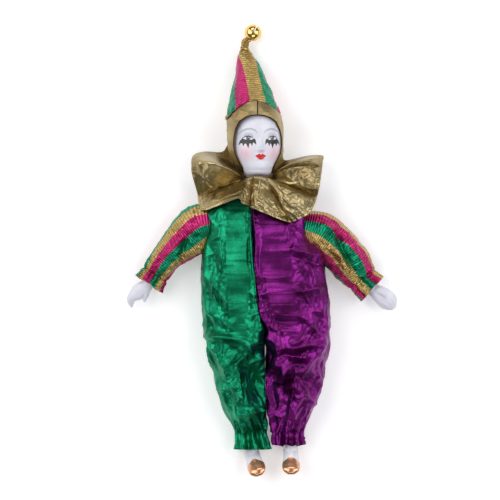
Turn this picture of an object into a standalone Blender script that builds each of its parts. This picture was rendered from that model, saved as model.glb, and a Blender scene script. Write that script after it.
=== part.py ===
"""Porcelain clown doll in a stuffed harlequin suit, lying on its back with its face up.

Sizes are in millimetres until a mesh is made. +X is to the right as one looks at the doll, +Y runs
from the feet to the tip of the hat, and +Z points up from the surface that the doll lies on.
Free outlines are drawn at DRAWN_LENGTH and follow the doll's length, as the neck, wrists, ankles and
shoes do, because they are proportions of the figure. Cloth, gaps and the bell keep their own sizes.
"""

import math

import bmesh
import bpy
import numpy as np
from mathutils import Vector
from mathutils.bvhtree import BVHTree

# Driving sizes
DOLL_LENGTH = 405.0  # from the toes to the top of the bell
DRAWN_LENGTH = 405.0  # the length at which the outlines below are drawn
UNIT = DOLL_LENGTH / DRAWN_LENGTH  # one drawn millimetre
GAP = 0.35  # clearance between pieces that touch
SEAM_GAP = 0.6  # between the two halves of the suit
CLOTH = 1.3  # hemmed lamé cloth, two layers
HOOD_CLEARANCE = 0.8  # between the head and the hood's lining
NECK_RADIUS = 10.5 * UNIT
WRIST_RADIUS = 5.6 * UNIT
ANKLE_RADIUS = 5.6 * UNIT
SHOE_LENGTH = 33.0 * UNIT
SHOE_WIDTH = 16.0 * UNIT
STEM_RADIUS = 2.9 * UNIT  # the twisted tip of the hat
SOCKET_DEPTH = 13.0 * UNIT  # how far wrists and ankles run inside the cloth
BELL_RADIUS = 7.7
BELL_WALL = 0.6
BELL_SLOT = 1.2
BELL_SLOT_START = 1.9  # how far the slots stop short of the crimped seam
BELL_HOLE_RADIUS = 1.4
BELL_RIM = 0.5  # how far the crimped seam round the bell stands out
BELL_LOOP = 1.8  # radius of its hanging loop
BELL_WIRE = 0.75  # radius of the loop's wire
PLEATS_AT_CUFF = 7
HEAD_TURN_DEG = 9.0
SHOE_PITCH_DEG = 52.0  # between the leg's line and the sole

# Suit, seen from the front: (Y, X) along the two side edges and the middle seam
GREEN_EDGE = [
    (55, -17), (50, -28), (44, -40), (36, -49.5), (28, -52), (15, -51.5), (-1, -53.6), (-37, -54.4),
    (-73, -52.7), (-91, -50.2), (-109, -45), (-145, -34.2), (-159, -28.4), (-167, -22.8), (-181, -24.4),
]
PURPLE_EDGE = [
    (55, 12), (50, 21), (44, 31.5), (37, 40), (28, 43.5), (15, 45), (4, 50), (-3, 55), (-19, 57),
    (-37, 59.6), (-64, 61.2), (-91, 60), (-109, 56.6), (-138, 49.4), (-149, 45), (-159, 39.8),
    (-167, 37.2), (-178, 38),
]
SEAM_LINE = [
    (55, -9.5), (24, -9.5), (3, -8.1), (-28, -5.9), (-48, -4.1), (-64, -0.9), (-73, 2.3), (-91, 2.6),
    (-136, 3.6), (-150, 4.8), (-158, 7.2), (-167, 7.3), (-181, 8.5),
]
LEG_GAP = [(55, 0), (-140, 0), (-158, 0.8), (-167, 3.4), (-181, 2.6)]
SUIT_TOP = [
    (55, 34), (44, 36.5), (30, 39), (0, 43), (-40, 45), (-73, 42), (-91, 40), (-127, 36), (-150, 30.5),
    (-160, 24), (-167, 19.5), (-181, 22),
]
SEAM_SQUARENESS = [(55, 9), (-50, 9), (-73, 5), (-91, 2.8), (-181, 2.1)]
GREEN_HEM = -181.2
PURPLE_HEM = -177.4
CUFF_GATHER = -167.0
NECKLINE = 54.0
SEAT_DEPTH = 3.0  # how much of the stuffed back flattens against the surface

# Main folds of the suit: (x, y) at both ends, half width and height, below 0 for a furrow
GREEN_FOLDS = [
    (-38, -50, -22, -76, 5, 4), (-22, -76, -4, -82, 4.5, 4), (-46, -78, -14, -84, 4, 3.5),
    (-14, -98, -24, -130, 6, 3.5), (-36, -96, -30, -126, 5, -3), (-34, 10, -30, -40, 6, 2.5),
    (-20, 8, -18, -34, 5, -2.5), (-46, 0, -34, -60, 4, -2.5), (-12, -106, -8, -140, 4.5, 3),
]
PURPLE_FOLDS = [
    (12, 10, 16, -30, 4, -3), (24, 4, 48, -8, 5, 3.5), (16, -58, 44, -70, 6, 4), (44, -70, 56, -86, 5, 3.5),
    (12, -96, 36, -92, 4, 4), (36, -92, 52, -84, 4, 3.5), (14, -108, 34, -120, 4.5, 3.5),
    (34, -106, 46, -128, 5, -3), (22, -124, 28, -146, 4, 3), (44, -30, 20, -44, 5, 2.5),
]
LEFT_SLEEVE_FOLDS = [
    (-62, 18, -84, -8, 4, 2.5), (-66, 2, -76, -12, 4, -3), (-56, 10, -66, -6, 4, 2.5),
    (-88, -8, -92, -22, 3, 2),
]
RIGHT_SLEEVE_FOLDS = [
    (52, 12, 68, 18, 4, 2.5), (66, 16, 76, -14, 4.5, -4.5), (76, -14, 84, -26, 3.5, -3),
    (76, 10, 92, -18, 5, 2.5), (62, 8, 78, -22, 4, 3),
]

# Sleeves: (x, y, z) of the middle, half width, half height, from inside the suit to the hem
LEFT_SLEEVE = [
    (-36, 22, 20, 14, 12), (-54.6, 19.4, 19, 21.2, 16.2), (-69.5, 7.6, 16.5, 19, 14.5),
    (-79, -1, 15, 15.6, 13), (-86.5, -8.5, 13.5, 13.4, 11.5), (-92.5, -17, 12, 12.6, 10.5),
    (-96.3, -23, 11, 11.4, 9), (-98.6, -26.5, 11, 12.2, 9.6), (-102.4, -32.2, 11.5, 13.6, 10.4),
]
RIGHT_SLEEVE = [
    (32, 19, 20, 14, 12), (50.6, 13.6, 19, 20, 16.2), (66.4, 1.8, 17, 19.2, 15), (75, -7.6, 15.5, 19, 14),
    (81.2, -15.4, 14, 18.6, 12.5), (86.4, -22.8, 12, 16, 10.8), (90, -28, 11, 13, 9),
    (93.6, -31.6, 11, 13, 9.6), (99.6, -37, 11.5, 13.9, 10.4),
]
GATHER_INDEX = -3  # the sleeve station that the elastic draws in

# Head: (Y, half width, front Z, back Z), and hood with hat: (Y, middle X, half width, front Z, back Z)
HEAD_STATIONS = [
    (62, 7, 32, 16), (64.6, 9.4, 38, 13.4), (66.2, 11.2, 44.5, 12.5), (70.5, 15.6, 48.4, 11),
    (78, 19.6, 50.4, 9), (86, 21.9, 51.2, 8), (97, 22.6, 50.6, 7.4), (108, 21.6, 51.2, 8),
    (116, 18.8, 49.6, 10), (122, 14.2, 45.8, 14), (126, 8, 39, 21),
]
HEAD_MIDDLE = (-4.6, 96.0, 29.0)
NECK_MIDDLE = (-3.6, 24.0)
NECK_FOOT = 43.0
NECK_END = (72.0, 80.0)  # how far up inside the head the throat's and the neck's rods run
HEAD_TOP = 127.6
FACE_RELIEF = [  # nose tip, bridge, lips, chin and eye hollows: X, Y, half width, half height, rise
    (0, 88.5, 2.6, 2.6, 3.0), (0, 94, 2.0, 5.0, 1.4), (0, 81.8, 4.2, 1.9, 0.9), (0, 71.5, 5, 3.5, 0.8),
    (-10.4, 96.5, 5.2, 3.4, -1.1), (10.4, 96.5, 5.2, 3.4, -1.1),
]
COWL_STATIONS = [
    (67, -4, 14.6, 46, 11), (72, -4.4, 18.4, 50, 8.8), (78, -4.8, 21.8, 52, 7), (85, -5.4, 24.2, 52.6, 5.6),
    (94, -6, 25.2, 52.8, 4.8), (103, -6.3, 25.4, 52.6, 4.6), (110, -6.3, 25.3, 53, 4.8),
    (116, -7, 25.1, 53, 5), (122, -7.6, 23.8, 52, 5), (132, -8.6, 20.7, 47, 4.6), (142.6, -9.5, 17.6, 41, 4),
    (153.4, -10.8, 14, 34, 3.4), (164, -12.2, 10.7, 26.5, 2.6), (171, -13.6, 8.4, 20.6, 2),
    (175.4, -15, 6, 15.6, 2.4), (178.6, -15.4, 4, 11.8, 4.2),
]
FACE_OPENING = [  # (Y, half width) of the hood's opening, from the brow down to the throat
    (118.8, 0), (118.4, 6), (116.8, 11), (113, 16.6), (106, 20), (99, 21.4), (92, 21.6), (85, 20.6),
    (78.7, 17.6), (72, 14), (64, 12.4), (56, 12.4),
]
OPENING_TURN_X = 0.6  # how far the opening's middle is to the right of the head's
BAND_CREST = 132.0  # the arched seam between the hood and the cone: crest, its X, and how it falls
BAND_CREST_X = -6.0
BAND_FALL = 14.5
BAND_HALF = 24.5
HAT_TIP = [  # (x, y, z) and the share of the stem's radius
    (-15.4, 178.6, 8, 1.15), (-15.6, 182.4, 8, 1.05), (-15.1, 185.6, 8, 1.0), (-13.6, 187.8, 8, 0.95),
    (-11.4, 188.4, 8, 0.9),
]
CLEAR_ROOM = (-50.0, 40.0, 40.0, 80.0)  # left, right, lowest Y and highest Z of the seam's cutter

# Ruff: ridge angles round the neck, 0 at the front and positive to the right, and the outer edge
RUFF_RIDGES = [-112, -88, -62, -38, -8, 20, 48, 70, 92, 113, 138, 165, 194, 221]
RUFF_EDGE = [
    (-180, 34), (-160, 38), (-135, 43), (-120, 46), (-114, 57), (-110, 62.8), (-98, 64), (-85, 61), (-77, 60),
    (-67, 61.4), (-60, 60), (-56, 45), (-51, 33), (-36, 29.8), (-22, 29.1), (-3, 31.2), (11, 35.2),
    (21, 40.5), (34, 49), (42, 50.7), (52, 53.3), (64, 52.9), (77, 52.2), (92, 53.1), (104, 56), (110, 57.4),
    (114, 49), (119, 36), (143, 29), (160, 31), (180, 34),
]
RUFF_HEIGHT = [
    (-180, 1.6), (-128, 1.6), (-119, 5), (-111, 18), (-90, 22), (-62, 27), (-50, 45), (0, 45), (45, 42),
    (70, 34), (90, 26), (108, 20), (117, 7), (126, 1.6), (180, 1.6),
]
RUFF_MIDDLE = (0.0, 64.0)
RUFF_NECK = (-3.6, 61.0, 24.0)
RUFF_LEAN = 0.4
RUFF_FLUTE = 4.2
RUFF_CROWN = 5.0  # how far the ruff swells between neck and hem
RUFF_BACK_DEG = 125.0  # from here on it lies flat behind the neck
RUFF_TURN_DEG = 20.0  # and this far before, it starts to come up

# Hands: (x, y, z) and half sizes along the palm and fingers, then along the thumb
LEFT_PALM = [
    (-101.6, -30.8, 11.4, 5.4, 5.2), (-105, -34.4, 11.4, 6.2, 5.4), (-108.6, -37, 11, 7.2, 5.2),
    (-113, -40.6, 10.6, 6.8, 4.8), (-117, -44.2, 9.6, 4.6, 4.2), (-118.4, -48.2, 8.6, 3.4, 3.4),
    (-117.8, -52.4, 8, 1.5, 1.8),
]
LEFT_THUMB = [
    (-104, -34.6, 11.6, 4.4, 4), (-104.4, -39.2, 11.8, 3.6, 3.4), (-105.2, -43.6, 11.6, 2.6, 2.6),
    (-106, -47.6, 11.2, 1.2, 1.4),
]
RIGHT_PALM = [
    (98.2, -36, 11.4, 5.4, 5.2), (102, -38.6, 11.4, 6.4, 5.4), (106.4, -41.4, 11, 8, 5.2),
    (111.6, -45.4, 10.4, 8.8, 4.8), (115.4, -49.4, 9.6, 7.6, 4.2), (118.2, -53, 8.8, 4.6, 3),
]
RIGHT_THUMB = [
    (101.4, -37.6, 13.4, 3.6, 3.4), (106, -38.6, 14.8, 3.3, 3), (109.8, -41.2, 15.2, 2.5, 2.3),
    (111.6, -44.4, 14.8, 1.2, 1.2),
]

# Feet: X of the leg and of the toe, where the ankle bends, and the shank's height
LEFT_FOOT = {"leg_x": -9.4, "toe_x": -2.6, "ankle_y": -184.4}
RIGHT_FOOT = {"leg_x": 26.0, "toe_x": 26.2, "ankle_y": -182.0}
SHANK_Z = 10.5
SHOE_FORM = [  # from heel to toe: share of the length, half width and half height as shares of the width
    (0.0, 0.22, 0.2), (0.06, 0.36, 0.34), (0.2, 0.44, 0.42), (0.4, 0.44, 0.38), (0.6, 0.5, 0.3),
    (0.8, 0.5, 0.25), (0.93, 0.4, 0.2), (1.0, 0.2, 0.12),
]
HEEL_BACK, HEEL_DOWN = 0.22, 0.12  # from the ankle to the heel, as shares of the length
SOLE_FLAT = -0.72  # where the round of the shoe is cut flat for its sole

BELL_MIDDLE = (-8.0, 194.9)
BELL_TILT_DEG = -30.0  # the bell leans to the right, about the up axis

COLOURS = {
    "porcelain": ((0.86, 0.86, 0.9), 0.18, 0.0),
    "gold_lame": ((0.42, 0.33, 0.16), 0.35, 0.9),
    "striped_lame": ((0.62, 0.1, 0.3), 0.35, 0.85),
    "green_lame": ((0.01, 0.36, 0.2), 0.3, 0.9),
    "purple_lame": ((0.3, 0.03, 0.3), 0.3, 0.9),
    "brass": ((0.83, 0.66, 0.3), 0.12, 1.0),
}


def clear_scene():
    """An empty scene to build in."""
    for thing in list(bpy.data.objects):
        bpy.data.objects.remove(thing)


def material(name):
    """The named Principled material, made once."""
    found = bpy.data.materials.get(name)
    if found:
        return found
    colour, roughness, metallic = COLOURS[name]
    made = bpy.data.materials.new(name)
    made.use_nodes = True
    shader = made.node_tree.nodes["Principled BSDF"]
    shader.inputs["Base Color"].default_value = (*colour, 1.0)
    shader.inputs["Roughness"].default_value = roughness
    shader.inputs["Metallic"].default_value = metallic
    return made


def smooth(stations, at):
    """Values at the places `at` on a smooth curve through (place, value) stations."""
    places, values = np.array(sorted(stations), float).T
    slopes = np.gradient(values, places)
    at = np.clip(at, places[0], places[-1])
    i = np.clip(np.searchsorted(places, at) - 1, 0, len(places) - 2)
    span = places[i + 1] - places[i]
    u = (at - places[i]) / span
    rise = u * u * (3 - 2 * u)
    return (
        values[i] * (1 - rise)
        + values[i + 1] * rise
        + span * (slopes[i] * u * (1 - u) ** 2 - slopes[i + 1] * u * u * (1 - u))
    )


def drawn(stations):
    """Stations given at the drawn length, at this doll's length."""
    return [tuple(UNIT * value for value in station) for station in stations]


def lobe(angle, power):
    """Cosine of an angle, squared off: 2 gives a round, more a boxy section."""
    c = np.cos(angle)
    return np.sign(c) * np.abs(c) ** (2 / power)


def object_from(name, finish, points, faces):
    """A closed mesh object from points in millimetres, its faces turned outwards."""
    mesh = bpy.data.meshes.new(name)
    mesh.from_pydata((np.asarray(points) / 1000).tolist(), [], faces)
    made = bmesh.new()
    made.from_mesh(mesh)
    bmesh.ops.remove_doubles(made, verts=made.verts, dist=1e-7)
    bmesh.ops.recalc_face_normals(made, faces=made.faces)
    made.to_mesh(mesh)
    made.free()
    mesh.shade_smooth()
    mesh.set_sharp_from_angle(angle=math.radians(50))
    thing = bpy.data.objects.new(name, mesh)
    thing.data.materials.append(material(finish))
    bpy.context.scene.collection.objects.link(thing)
    return thing


def loft(name, finish, rings):
    """A solid through rings of points, each end closed by a fan round its middle."""
    rings = np.asarray(rings, float)
    rows, count = rings.shape[:2]
    points = np.concatenate([rings.reshape(-1, 3), rings[0].mean(0)[None], rings[-1].mean(0)[None]])
    first, last = rows * count, rows * count + 1
    faces = []
    for i in range(count):
        j = (i + 1) % count
        faces.append((first, j, i))
        faces.append((last, (rows - 1) * count + i, (rows - 1) * count + j))
        for r in range(rows - 1):
            a, b = r * count, (r + 1) * count
            faces.append((a + i, a + j, b + j, b + i))
    return object_from(name, finish, points, faces)


def combine(thing, other, operation):
    """Joins or cuts `thing` by `other`, which is used up."""
    change = thing.modifiers.new(operation.lower(), "BOOLEAN")
    change.operation = operation
    change.object = other
    graph = bpy.context.evaluated_depsgraph_get()
    mesh = bpy.data.meshes.new_from_object(thing.evaluated_get(graph))
    thing.modifiers.clear()
    mesh.name = thing.name
    thing.data = mesh
    bpy.data.objects.remove(other)
    cleaned = bmesh.new()
    cleaned.from_mesh(mesh)
    bmesh.ops.remove_doubles(cleaned, verts=cleaned.verts, dist=2e-6)
    bmesh.ops.dissolve_degenerate(cleaned, edges=cleaned.edges, dist=2e-6)
    cleaned.to_mesh(mesh)
    cleaned.free()
    return thing


def keep_largest(thing):
    """Removes the offcuts that a cut has left loose."""
    made = bmesh.new()
    made.from_mesh(thing.data)
    left, pieces = set(made.verts), []
    while left:
        front, piece = [left.pop()], []
        while front:
            vertex = front.pop()
            piece.append(vertex)
            near = {edge.other_vert(vertex) for edge in vertex.link_edges} & left
            left -= near
            front.extend(near)
        pieces.append(piece)
    pieces.sort(key=len)
    bmesh.ops.delete(made, geom=[vertex for piece in pieces[:-1] for vertex in piece], context="VERTS")
    made.to_mesh(thing.data)
    made.free()
    return thing


def tube_rings(stations, around, grow=0.0, pleat=None, floor=True):
    """Oval rings along a bent middle line. Each station is x, y, z, half width, half height."""
    line = np.asarray(stations, float)
    along = np.gradient(line[:, :3], axis=0)
    along /= np.linalg.norm(along, axis=1)[:, None]
    across = np.stack([-along[:, 1], along[:, 0], np.zeros(len(line))], axis=1)
    across /= np.linalg.norm(across, axis=1)[:, None]
    up = np.cross(along, across)
    up *= np.sign(up[:, 2:3])
    angle = np.linspace(0, 2 * math.pi, around, endpoint=False)
    swell = 1 + (pleat[:, None] * np.cos(PLEATS_AT_CUFF * angle) if pleat is not None else 0)
    wide = (line[:, 3:4] * swell + grow) * np.cos(angle)
    high = (line[:, 4:5] * swell + grow) * np.sin(angle)
    rings = line[:, None, :3] + wide[..., None] * across[:, None] + high[..., None] * up[:, None]
    if floor:
        rings[..., 2] = np.maximum(rings[..., 2], 0)
    return rings


def fold_height(x, y, folds):
    """Height of the named folds at (x, y): each is a ridge or furrow along a straight run."""
    total = np.zeros(np.broadcast(x, y).shape)
    for x0, y0, x1, y1, width, height in drawn(folds):
        run = np.array([x1 - x0, y1 - y0])
        share = np.clip(((x - x0) * run[0] + (y - y0) * run[1]) / (run @ run), 0, 1)
        away = np.hypot(x - x0 - share * run[0], y - y0 - share * run[1])
        total += height * np.exp(-((away / width) ** 2))
    return total


def suit_rings(side, around=22, grow=0.0, folds=()):
    """Sections of one half of the suit, from the neckline down to the leg's hem.

    side is -1 for the green half and 1 for the purple one. Each section runs from the middle seam
    to the outer edge: square against the seam down to the crotch, and round below it.
    """
    hem = UNIT * (GREEN_HEM if side < 0 else PURPLE_HEM)
    edge = drawn(GREEN_EDGE if side < 0 else PURPLE_EDGE)
    upper = np.linspace(NECKLINE, 30, 4)
    middle = np.linspace(20, -150, 15)
    cuff = [-157, -162, CUFF_GATHER, CUFF_GATHER - 4.5]
    y = np.concatenate([UNIT * np.concatenate([upper, middle, cuff]), [hem]])
    outer = smooth(edge, y) + side * grow
    between = np.maximum(smooth(drawn(LEG_GAP), y), 0) + SEAM_GAP
    inner = smooth(drawn(SEAM_LINE), y) + side * (between / 2 - grow)
    top = smooth(drawn(SUIT_TOP), y) + grow
    square = smooth([(place * UNIT, value) for place, value in SEAM_SQUARENESS], y)
    spin = np.linspace(0, 2 * math.pi, around, endpoint=False)[None]
    angle = spin + 0.3 * np.cos(spin)  # closer together at the front, where the folds are
    middle_x, half = ((outer + inner) / 2)[:, None], ((outer - inner) / 2)[:, None]
    power = np.where(np.cos(angle) < 0, square[:, None], 2.3)
    crown = np.where(np.cos(angle) < 0, np.clip(square[:, None], 2.4, 6), 2.4)
    waist = 0.42 * top[:, None]
    rise = np.where(np.sin(angle) > 0, top[:, None] - waist, waist + SEAT_DEPTH)
    pleat = np.interp(-y, [150 * UNIT, 163 * UNIT, 167 * UNIT, -hem], [0, 0.07, 0.05, 0.09])[:, None]
    swell = 1 + pleat * np.cos(PLEATS_AT_CUFF * angle)
    x = middle_x + half * lobe(angle, power) * (swell if grow == 0 else 1)
    lean = side * x
    inner_limit = side * inner[:, None]
    x = side * np.where(pleat > 0, np.maximum(lean, inner_limit), lean)
    z = waist + rise * lobe(angle - math.pi / 2, crown) * swell
    rows = np.broadcast_to(y[:, None], x.shape)
    front = np.clip(np.sin(angle), 0, 1) ** 0.5
    z = z + front * fold_height(x, rows, folds) * np.interp(-rows, [-30 * UNIT, -10 * UNIT], [0, 1])
    return np.stack([x, rows, np.maximum(z, 0)], axis=-1)


def cuff_cavity(gather, hem, wall):
    """Rings of the hollow inside a cuff: its frill's form less the wall, run out past the hem."""
    inside = []
    for ring in (gather + 0.45 * (hem - gather), hem):
        spread = ring - ring.mean(0)
        inside.append(ring.mean(0) + spread * (1 - wall / np.linalg.norm(spread, axis=1, keepdims=True)))
    return [*inside, inside[1] + 0.6 * (hem.mean(0) - gather.mean(0))]


def leg_axis(foot):
    """Top and bottom of the straight shank."""
    x, ankle = UNIT * foot["leg_x"], UNIT * foot["ankle_y"]
    top = UNIT * CUFF_GATHER + SOCKET_DEPTH
    return Vector((x, top, UNIT * SHANK_Z)), Vector((x, ankle, UNIT * SHANK_Z))


def rod(start, end, radius, around=16, name="rod"):
    """A round rod between two points, with flat ends."""
    start, end = np.array(start, float), np.array(end, float)
    along = (end - start) / np.linalg.norm(end - start)
    side = np.cross(along, (0, 0, 1)) if abs(along[2]) < 0.9 else np.cross(along, (1, 0, 0))
    side /= np.linalg.norm(side)
    up = np.cross(side, along)
    angle = np.linspace(0, 2 * math.pi, around, endpoint=False)[:, None]
    circle = radius * (np.cos(angle) * side + np.sin(angle) * up)
    return loft(name, "porcelain", [start + circle, end + circle])


def make_suit_half(name, finish, side, foot, folds):
    """One leg and half of the body, with sockets for the neck and the ankle."""
    rings = suit_rings(side, folds=folds)
    half = loft(name, finish, rings)
    combine(half, loft("cavity", finish, cuff_cavity(rings[-3], rings[-1], CLOTH)), "DIFFERENCE")
    top, _ = leg_axis(foot)
    below = Vector((top.x, UNIT * (CUFF_GATHER - 8), top.z))
    socket = rod(top + Vector((0, GAP, 0)), below, ANKLE_RADIUS + GAP, 14)
    combine(half, socket, "DIFFERENCE")
    neck_x, neck_z = UNIT * NECK_MIDDLE[0], UNIT * NECK_MIDDLE[1]
    neck = rod(
        (neck_x, UNIT * NECK_FOOT - GAP, neck_z), (neck_x, UNIT * 70, neck_z), NECK_RADIUS + GAP, 20
    )
    return combine(half, neck, "DIFFERENCE")


def wrist_line(sleeve):
    """Start inside the sleeve, and end, of the straight wrist through the gather."""
    line = np.array(sleeve, float)[:, :3] * UNIT
    gather, hem = line[GATHER_INDEX], line[-1]
    along = (hem - gather) / np.linalg.norm(hem - gather)
    return gather - along * SOCKET_DEPTH, hem


def make_sleeve(name, sleeve, side, folds):
    """A stuffed sleeve, gathered at the wrist, cut to lie against the suit's side."""
    stations = np.array(sleeve, float) * UNIT
    last = len(stations) - 1
    fine = np.linspace(0, last, 12)
    line = np.stack([smooth(list(enumerate(column)), fine) for column in stations.T], axis=1)
    pleat = np.interp(fine, [last + GATHER_INDEX - 1, last + GATHER_INDEX, last], [0, 0.05, 0.1])
    rings = tube_rings(line, 19, pleat=pleat)
    front = np.clip(rings[..., 2:] - line[:, None, 2:3], 0, None) / line[:, None, 4:5]
    lift = fold_height(rings[..., 0], rings[..., 1], folds)[..., None] * front
    rings[..., 2:] = np.maximum(rings[..., 2:] + lift, 0)
    made = loft(name, "striped_lame", rings)
    combine(made, loft("cavity", "striped_lame", cuff_cavity(rings[-4], rings[-1], CLOTH)), "DIFFERENCE")
    start, end = wrist_line(sleeve)
    along = (end - start) / np.linalg.norm(end - start)
    combine(made, rod(start - along * GAP, end, WRIST_RADIUS + GAP, 14), "DIFFERENCE")
    body_folds = GREEN_FOLDS if side < 0 else PURPLE_FOLDS
    body = loft("body", "striped_lame", suit_rings(side, grow=GAP, folds=body_folds))
    return keep_largest(combine(made, body, "DIFFERENCE"))


def turned(points):
    """The head's points turned to the side about the neck's line."""
    angle = math.radians(HEAD_TURN_DEG)
    pivot = np.array([UNIT * HEAD_MIDDLE[0], 0, UNIT * HEAD_MIDDLE[2]])
    shifted = points - pivot
    x = shifted[..., 0] * math.cos(angle) + shifted[..., 2] * math.sin(angle)
    z = -shifted[..., 0] * math.sin(angle) + shifted[..., 2] * math.cos(angle)
    return np.stack([x, shifted[..., 1], z], axis=-1) + pivot


def head_rings(around, rows, grow=0.0, features=True):
    """Sections of the head from under the chin to the crown, with brow, nose, mouth and chin."""
    stations = np.array(HEAD_STATIONS, float) * UNIT
    y = smooth(list(enumerate(stations[:, 0])), np.linspace(0, len(stations) - 1, rows))
    half, front, back = (smooth(list(zip(stations[:, 0], stations[:, i])), y) for i in (1, 2, 3))
    middle, depth = (front + back) / 2, (front - back) / 2
    spin = np.linspace(0, 2 * math.pi, around, endpoint=False)
    angle = (spin - 0.35 * np.sin(spin))[None]  # closer together at the front
    x = UNIT * HEAD_MIDDLE[0] + (half[:, None] + grow) * np.sin(angle)
    z = middle[:, None] + (depth[:, None] + grow) * np.cos(angle)
    if features:
        across, up = (x - UNIT * HEAD_MIDDLE[0]) / UNIT, y[:, None] / UNIT
        face = np.clip(np.cos(angle), 0, 1)
        for at_x, at_y, wide, tall, rise in FACE_RELIEF:
            z = z + UNIT * face * rise * np.exp(-(((across - at_x) / wide) ** 2) - ((up - at_y) / tall) ** 2)
    y = y[:, None] + np.where(y[:, None] > UNIT * HEAD_MIDDLE[1], grow, -grow) + 0 * x
    return turned(np.stack([x, y, z], axis=-1))


def make_head():
    """The porcelain head on its neck."""
    rings = head_rings(22, 15)
    crown = rings[-1].mean(0) + (rings[-1] - rings[-1].mean(0)) * 0.4
    crown[:, 1] = UNIT * HEAD_TOP
    x, z = UNIT * NECK_MIDDLE[0], UNIT * NECK_MIDDLE[1]
    head = loft("head", "porcelain", [*rings, crown])
    neck = rod((x, UNIT * NECK_FOOT, z), (x, UNIT * NECK_END[1], z), NECK_RADIUS, 18, "neck")
    return combine(head, neck, "UNION")


def head_cutter():
    """The head's form with the hood's clearance, without its features, on a throat."""
    rings = head_rings(20, 12, grow=HOOD_CLEARANCE, features=False)
    crown = rings[-1].mean(0) + (rings[-1] - rings[-1].mean(0)) * 0.45
    crown[:, 1] = UNIT * HEAD_TOP + HOOD_CLEARANCE
    form = loft("head_form", "gold_lame", [*rings, crown])
    x, z = UNIT * NECK_MIDDLE[0], UNIT * NECK_MIDDLE[1]
    low, high = UNIT * NECK_FOOT, UNIT * NECK_END[0]
    throat = rod((x, low, z), (x, high, z), NECK_RADIUS + HOOD_CLEARANCE, 18, "throat")
    return combine(form, throat, "UNION")


def cowl_and_hat_rings(around):
    """Sections of the hood's and the hat's outer form, from the neck to the hat's twisted tip."""
    stations = np.array(COWL_STATIONS, float) * UNIT
    line = np.concatenate([stations[:8, 0], np.linspace(stations[8, 0], stations[-1, 0], 12)])
    pairs = [smooth(list(zip(stations[:, 0], stations[:, i])), line) for i in (1, 2, 3, 4)]
    middle_x, half, front, back = (column[:, None] for column in pairs)
    angle = np.linspace(0, 2 * math.pi, around, endpoint=False)[None]
    waist = (front + back) / 2
    x = middle_x + half * np.sin(angle)
    z = waist + (front - back) / 2 * np.cos(angle)
    y = np.broadcast_to(line[:, None], x.shape)
    return np.stack([x, y, np.maximum(z, 0)], axis=-1)


def band_arch(x):
    """Y of the arched seam where the cone is sewn to the hood."""
    return UNIT * BAND_CREST - UNIT * BAND_FALL * ((x / UNIT - BAND_CREST_X) / BAND_HALF) ** 2


def arch_cutter(raised):
    """Everything on the hood's side of the arched seam, moved up by `raised`."""
    left, right, low, high = (UNIT * size for size in CLEAR_ROOM)
    x = np.linspace(left, right, 19)
    crest = np.stack([x, band_arch(x) + raised], axis=1)
    outline = np.concatenate([crest, [[right, low], [left, low]]])
    levels = [np.column_stack([outline, np.full(len(outline), z)]) for z in (-high, high)]
    return prism("arch", levels)


def prism(name, levels):
    """A straight prism between two equal outlines."""
    low, high = levels
    count = len(low)
    faces = [tuple(range(count)), tuple(range(count, 2 * count))]
    faces += [(i, (i + 1) % count, count + (i + 1) % count, count + i) for i in range(count)]
    return object_from(name, "gold_lame", np.concatenate([low, high]), faces)


def face_cutter():
    """A prism through the hood's opening, in front of the face."""
    outline = np.array(FACE_OPENING) * UNIT
    y = np.concatenate([outline[:, 0], outline[:0:-1, 0]])
    x = np.concatenate([outline[:, 1], -outline[:0:-1, 1]]) + UNIT * (HEAD_MIDDLE[0] + OPENING_TURN_X)
    levels = [np.column_stack([x, y, np.full(len(x), UNIT * z)]) for z in (HEAD_MIDDLE[2], CLEAR_ROOM[3])]
    return prism("opening", levels)


def make_hood():
    """The gold hood: a shell round the head, open at the face, up to the arched seam."""
    outer = cowl_and_hat_rings(22)
    hood = loft("hood", "gold_lame", outer[:14])
    combine(hood, arch_cutter(0), "INTERSECT")
    combine(hood, face_cutter(), "DIFFERENCE")
    return keep_largest(combine(hood, head_cutter(), "DIFFERENCE"))


def make_hat():
    """The striped cone, stuffed, with its twisted tip bent over towards the bell."""
    outer = cowl_and_hat_rings(22)[7:]
    tip = np.array(HAT_TIP)[:, [0, 1, 2, 3, 3]] * (UNIT, UNIT, UNIT, STEM_RADIUS, STEM_RADIUS)
    stem = tube_rings(tip, 14, floor=False)
    hat = loft("hat", "striped_lame", outer)
    root = stem[0] - stem[0].mean(0) + (stem[0].mean(0) - (0, 2 * STEM_RADIUS, 0))
    combine(hat, loft("stem", "striped_lame", [root, *stem]), "UNION")
    combine(hat, arch_cutter(GAP), "DIFFERENCE")
    combine(hat, head_cutter(), "DIFFERENCE")
    tilt = math.radians(BELL_TILT_DEG)
    bell = Vector((UNIT * BELL_MIDDLE[0], UNIT * BELL_MIDDLE[1], BELL_RADIUS + BELL_RIM))
    down = Vector((math.sin(tilt), -math.cos(tilt), 0))
    shell = globe("bell_form", BELL_RADIUS + BELL_RIM + GAP, 16, 8)
    for vertex in shell.data.vertices:
        vertex.co += bell / 1000
    combine(hat, shell, "DIFFERENCE")
    reach = bell + down * (BELL_RADIUS + BELL_LOOP + BELL_WIRE + GAP)
    return combine(hat, rod(bell, reach, BELL_LOOP + BELL_WIRE + GAP, 10, "loop_form"), "DIFFERENCE")


def globe(name, radius, around, rows):
    """A ball of longitude and latitude faces, with its poles along Z."""
    lift = np.linspace(-math.pi / 2, math.pi / 2, rows + 1)[1:-1, None]
    angle = np.linspace(0, 2 * math.pi, around, endpoint=False)[None]
    rings = radius * np.stack(
        [np.cos(lift) * np.cos(angle), np.cos(lift) * np.sin(angle), np.sin(lift) + 0 * angle], axis=-1
    )
    made = loft(name, "brass", rings)
    for vertex in made.data.vertices[-2:]:
        vertex.co.z = math.copysign(radius / 1000, vertex.co.z)
    return made


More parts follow.
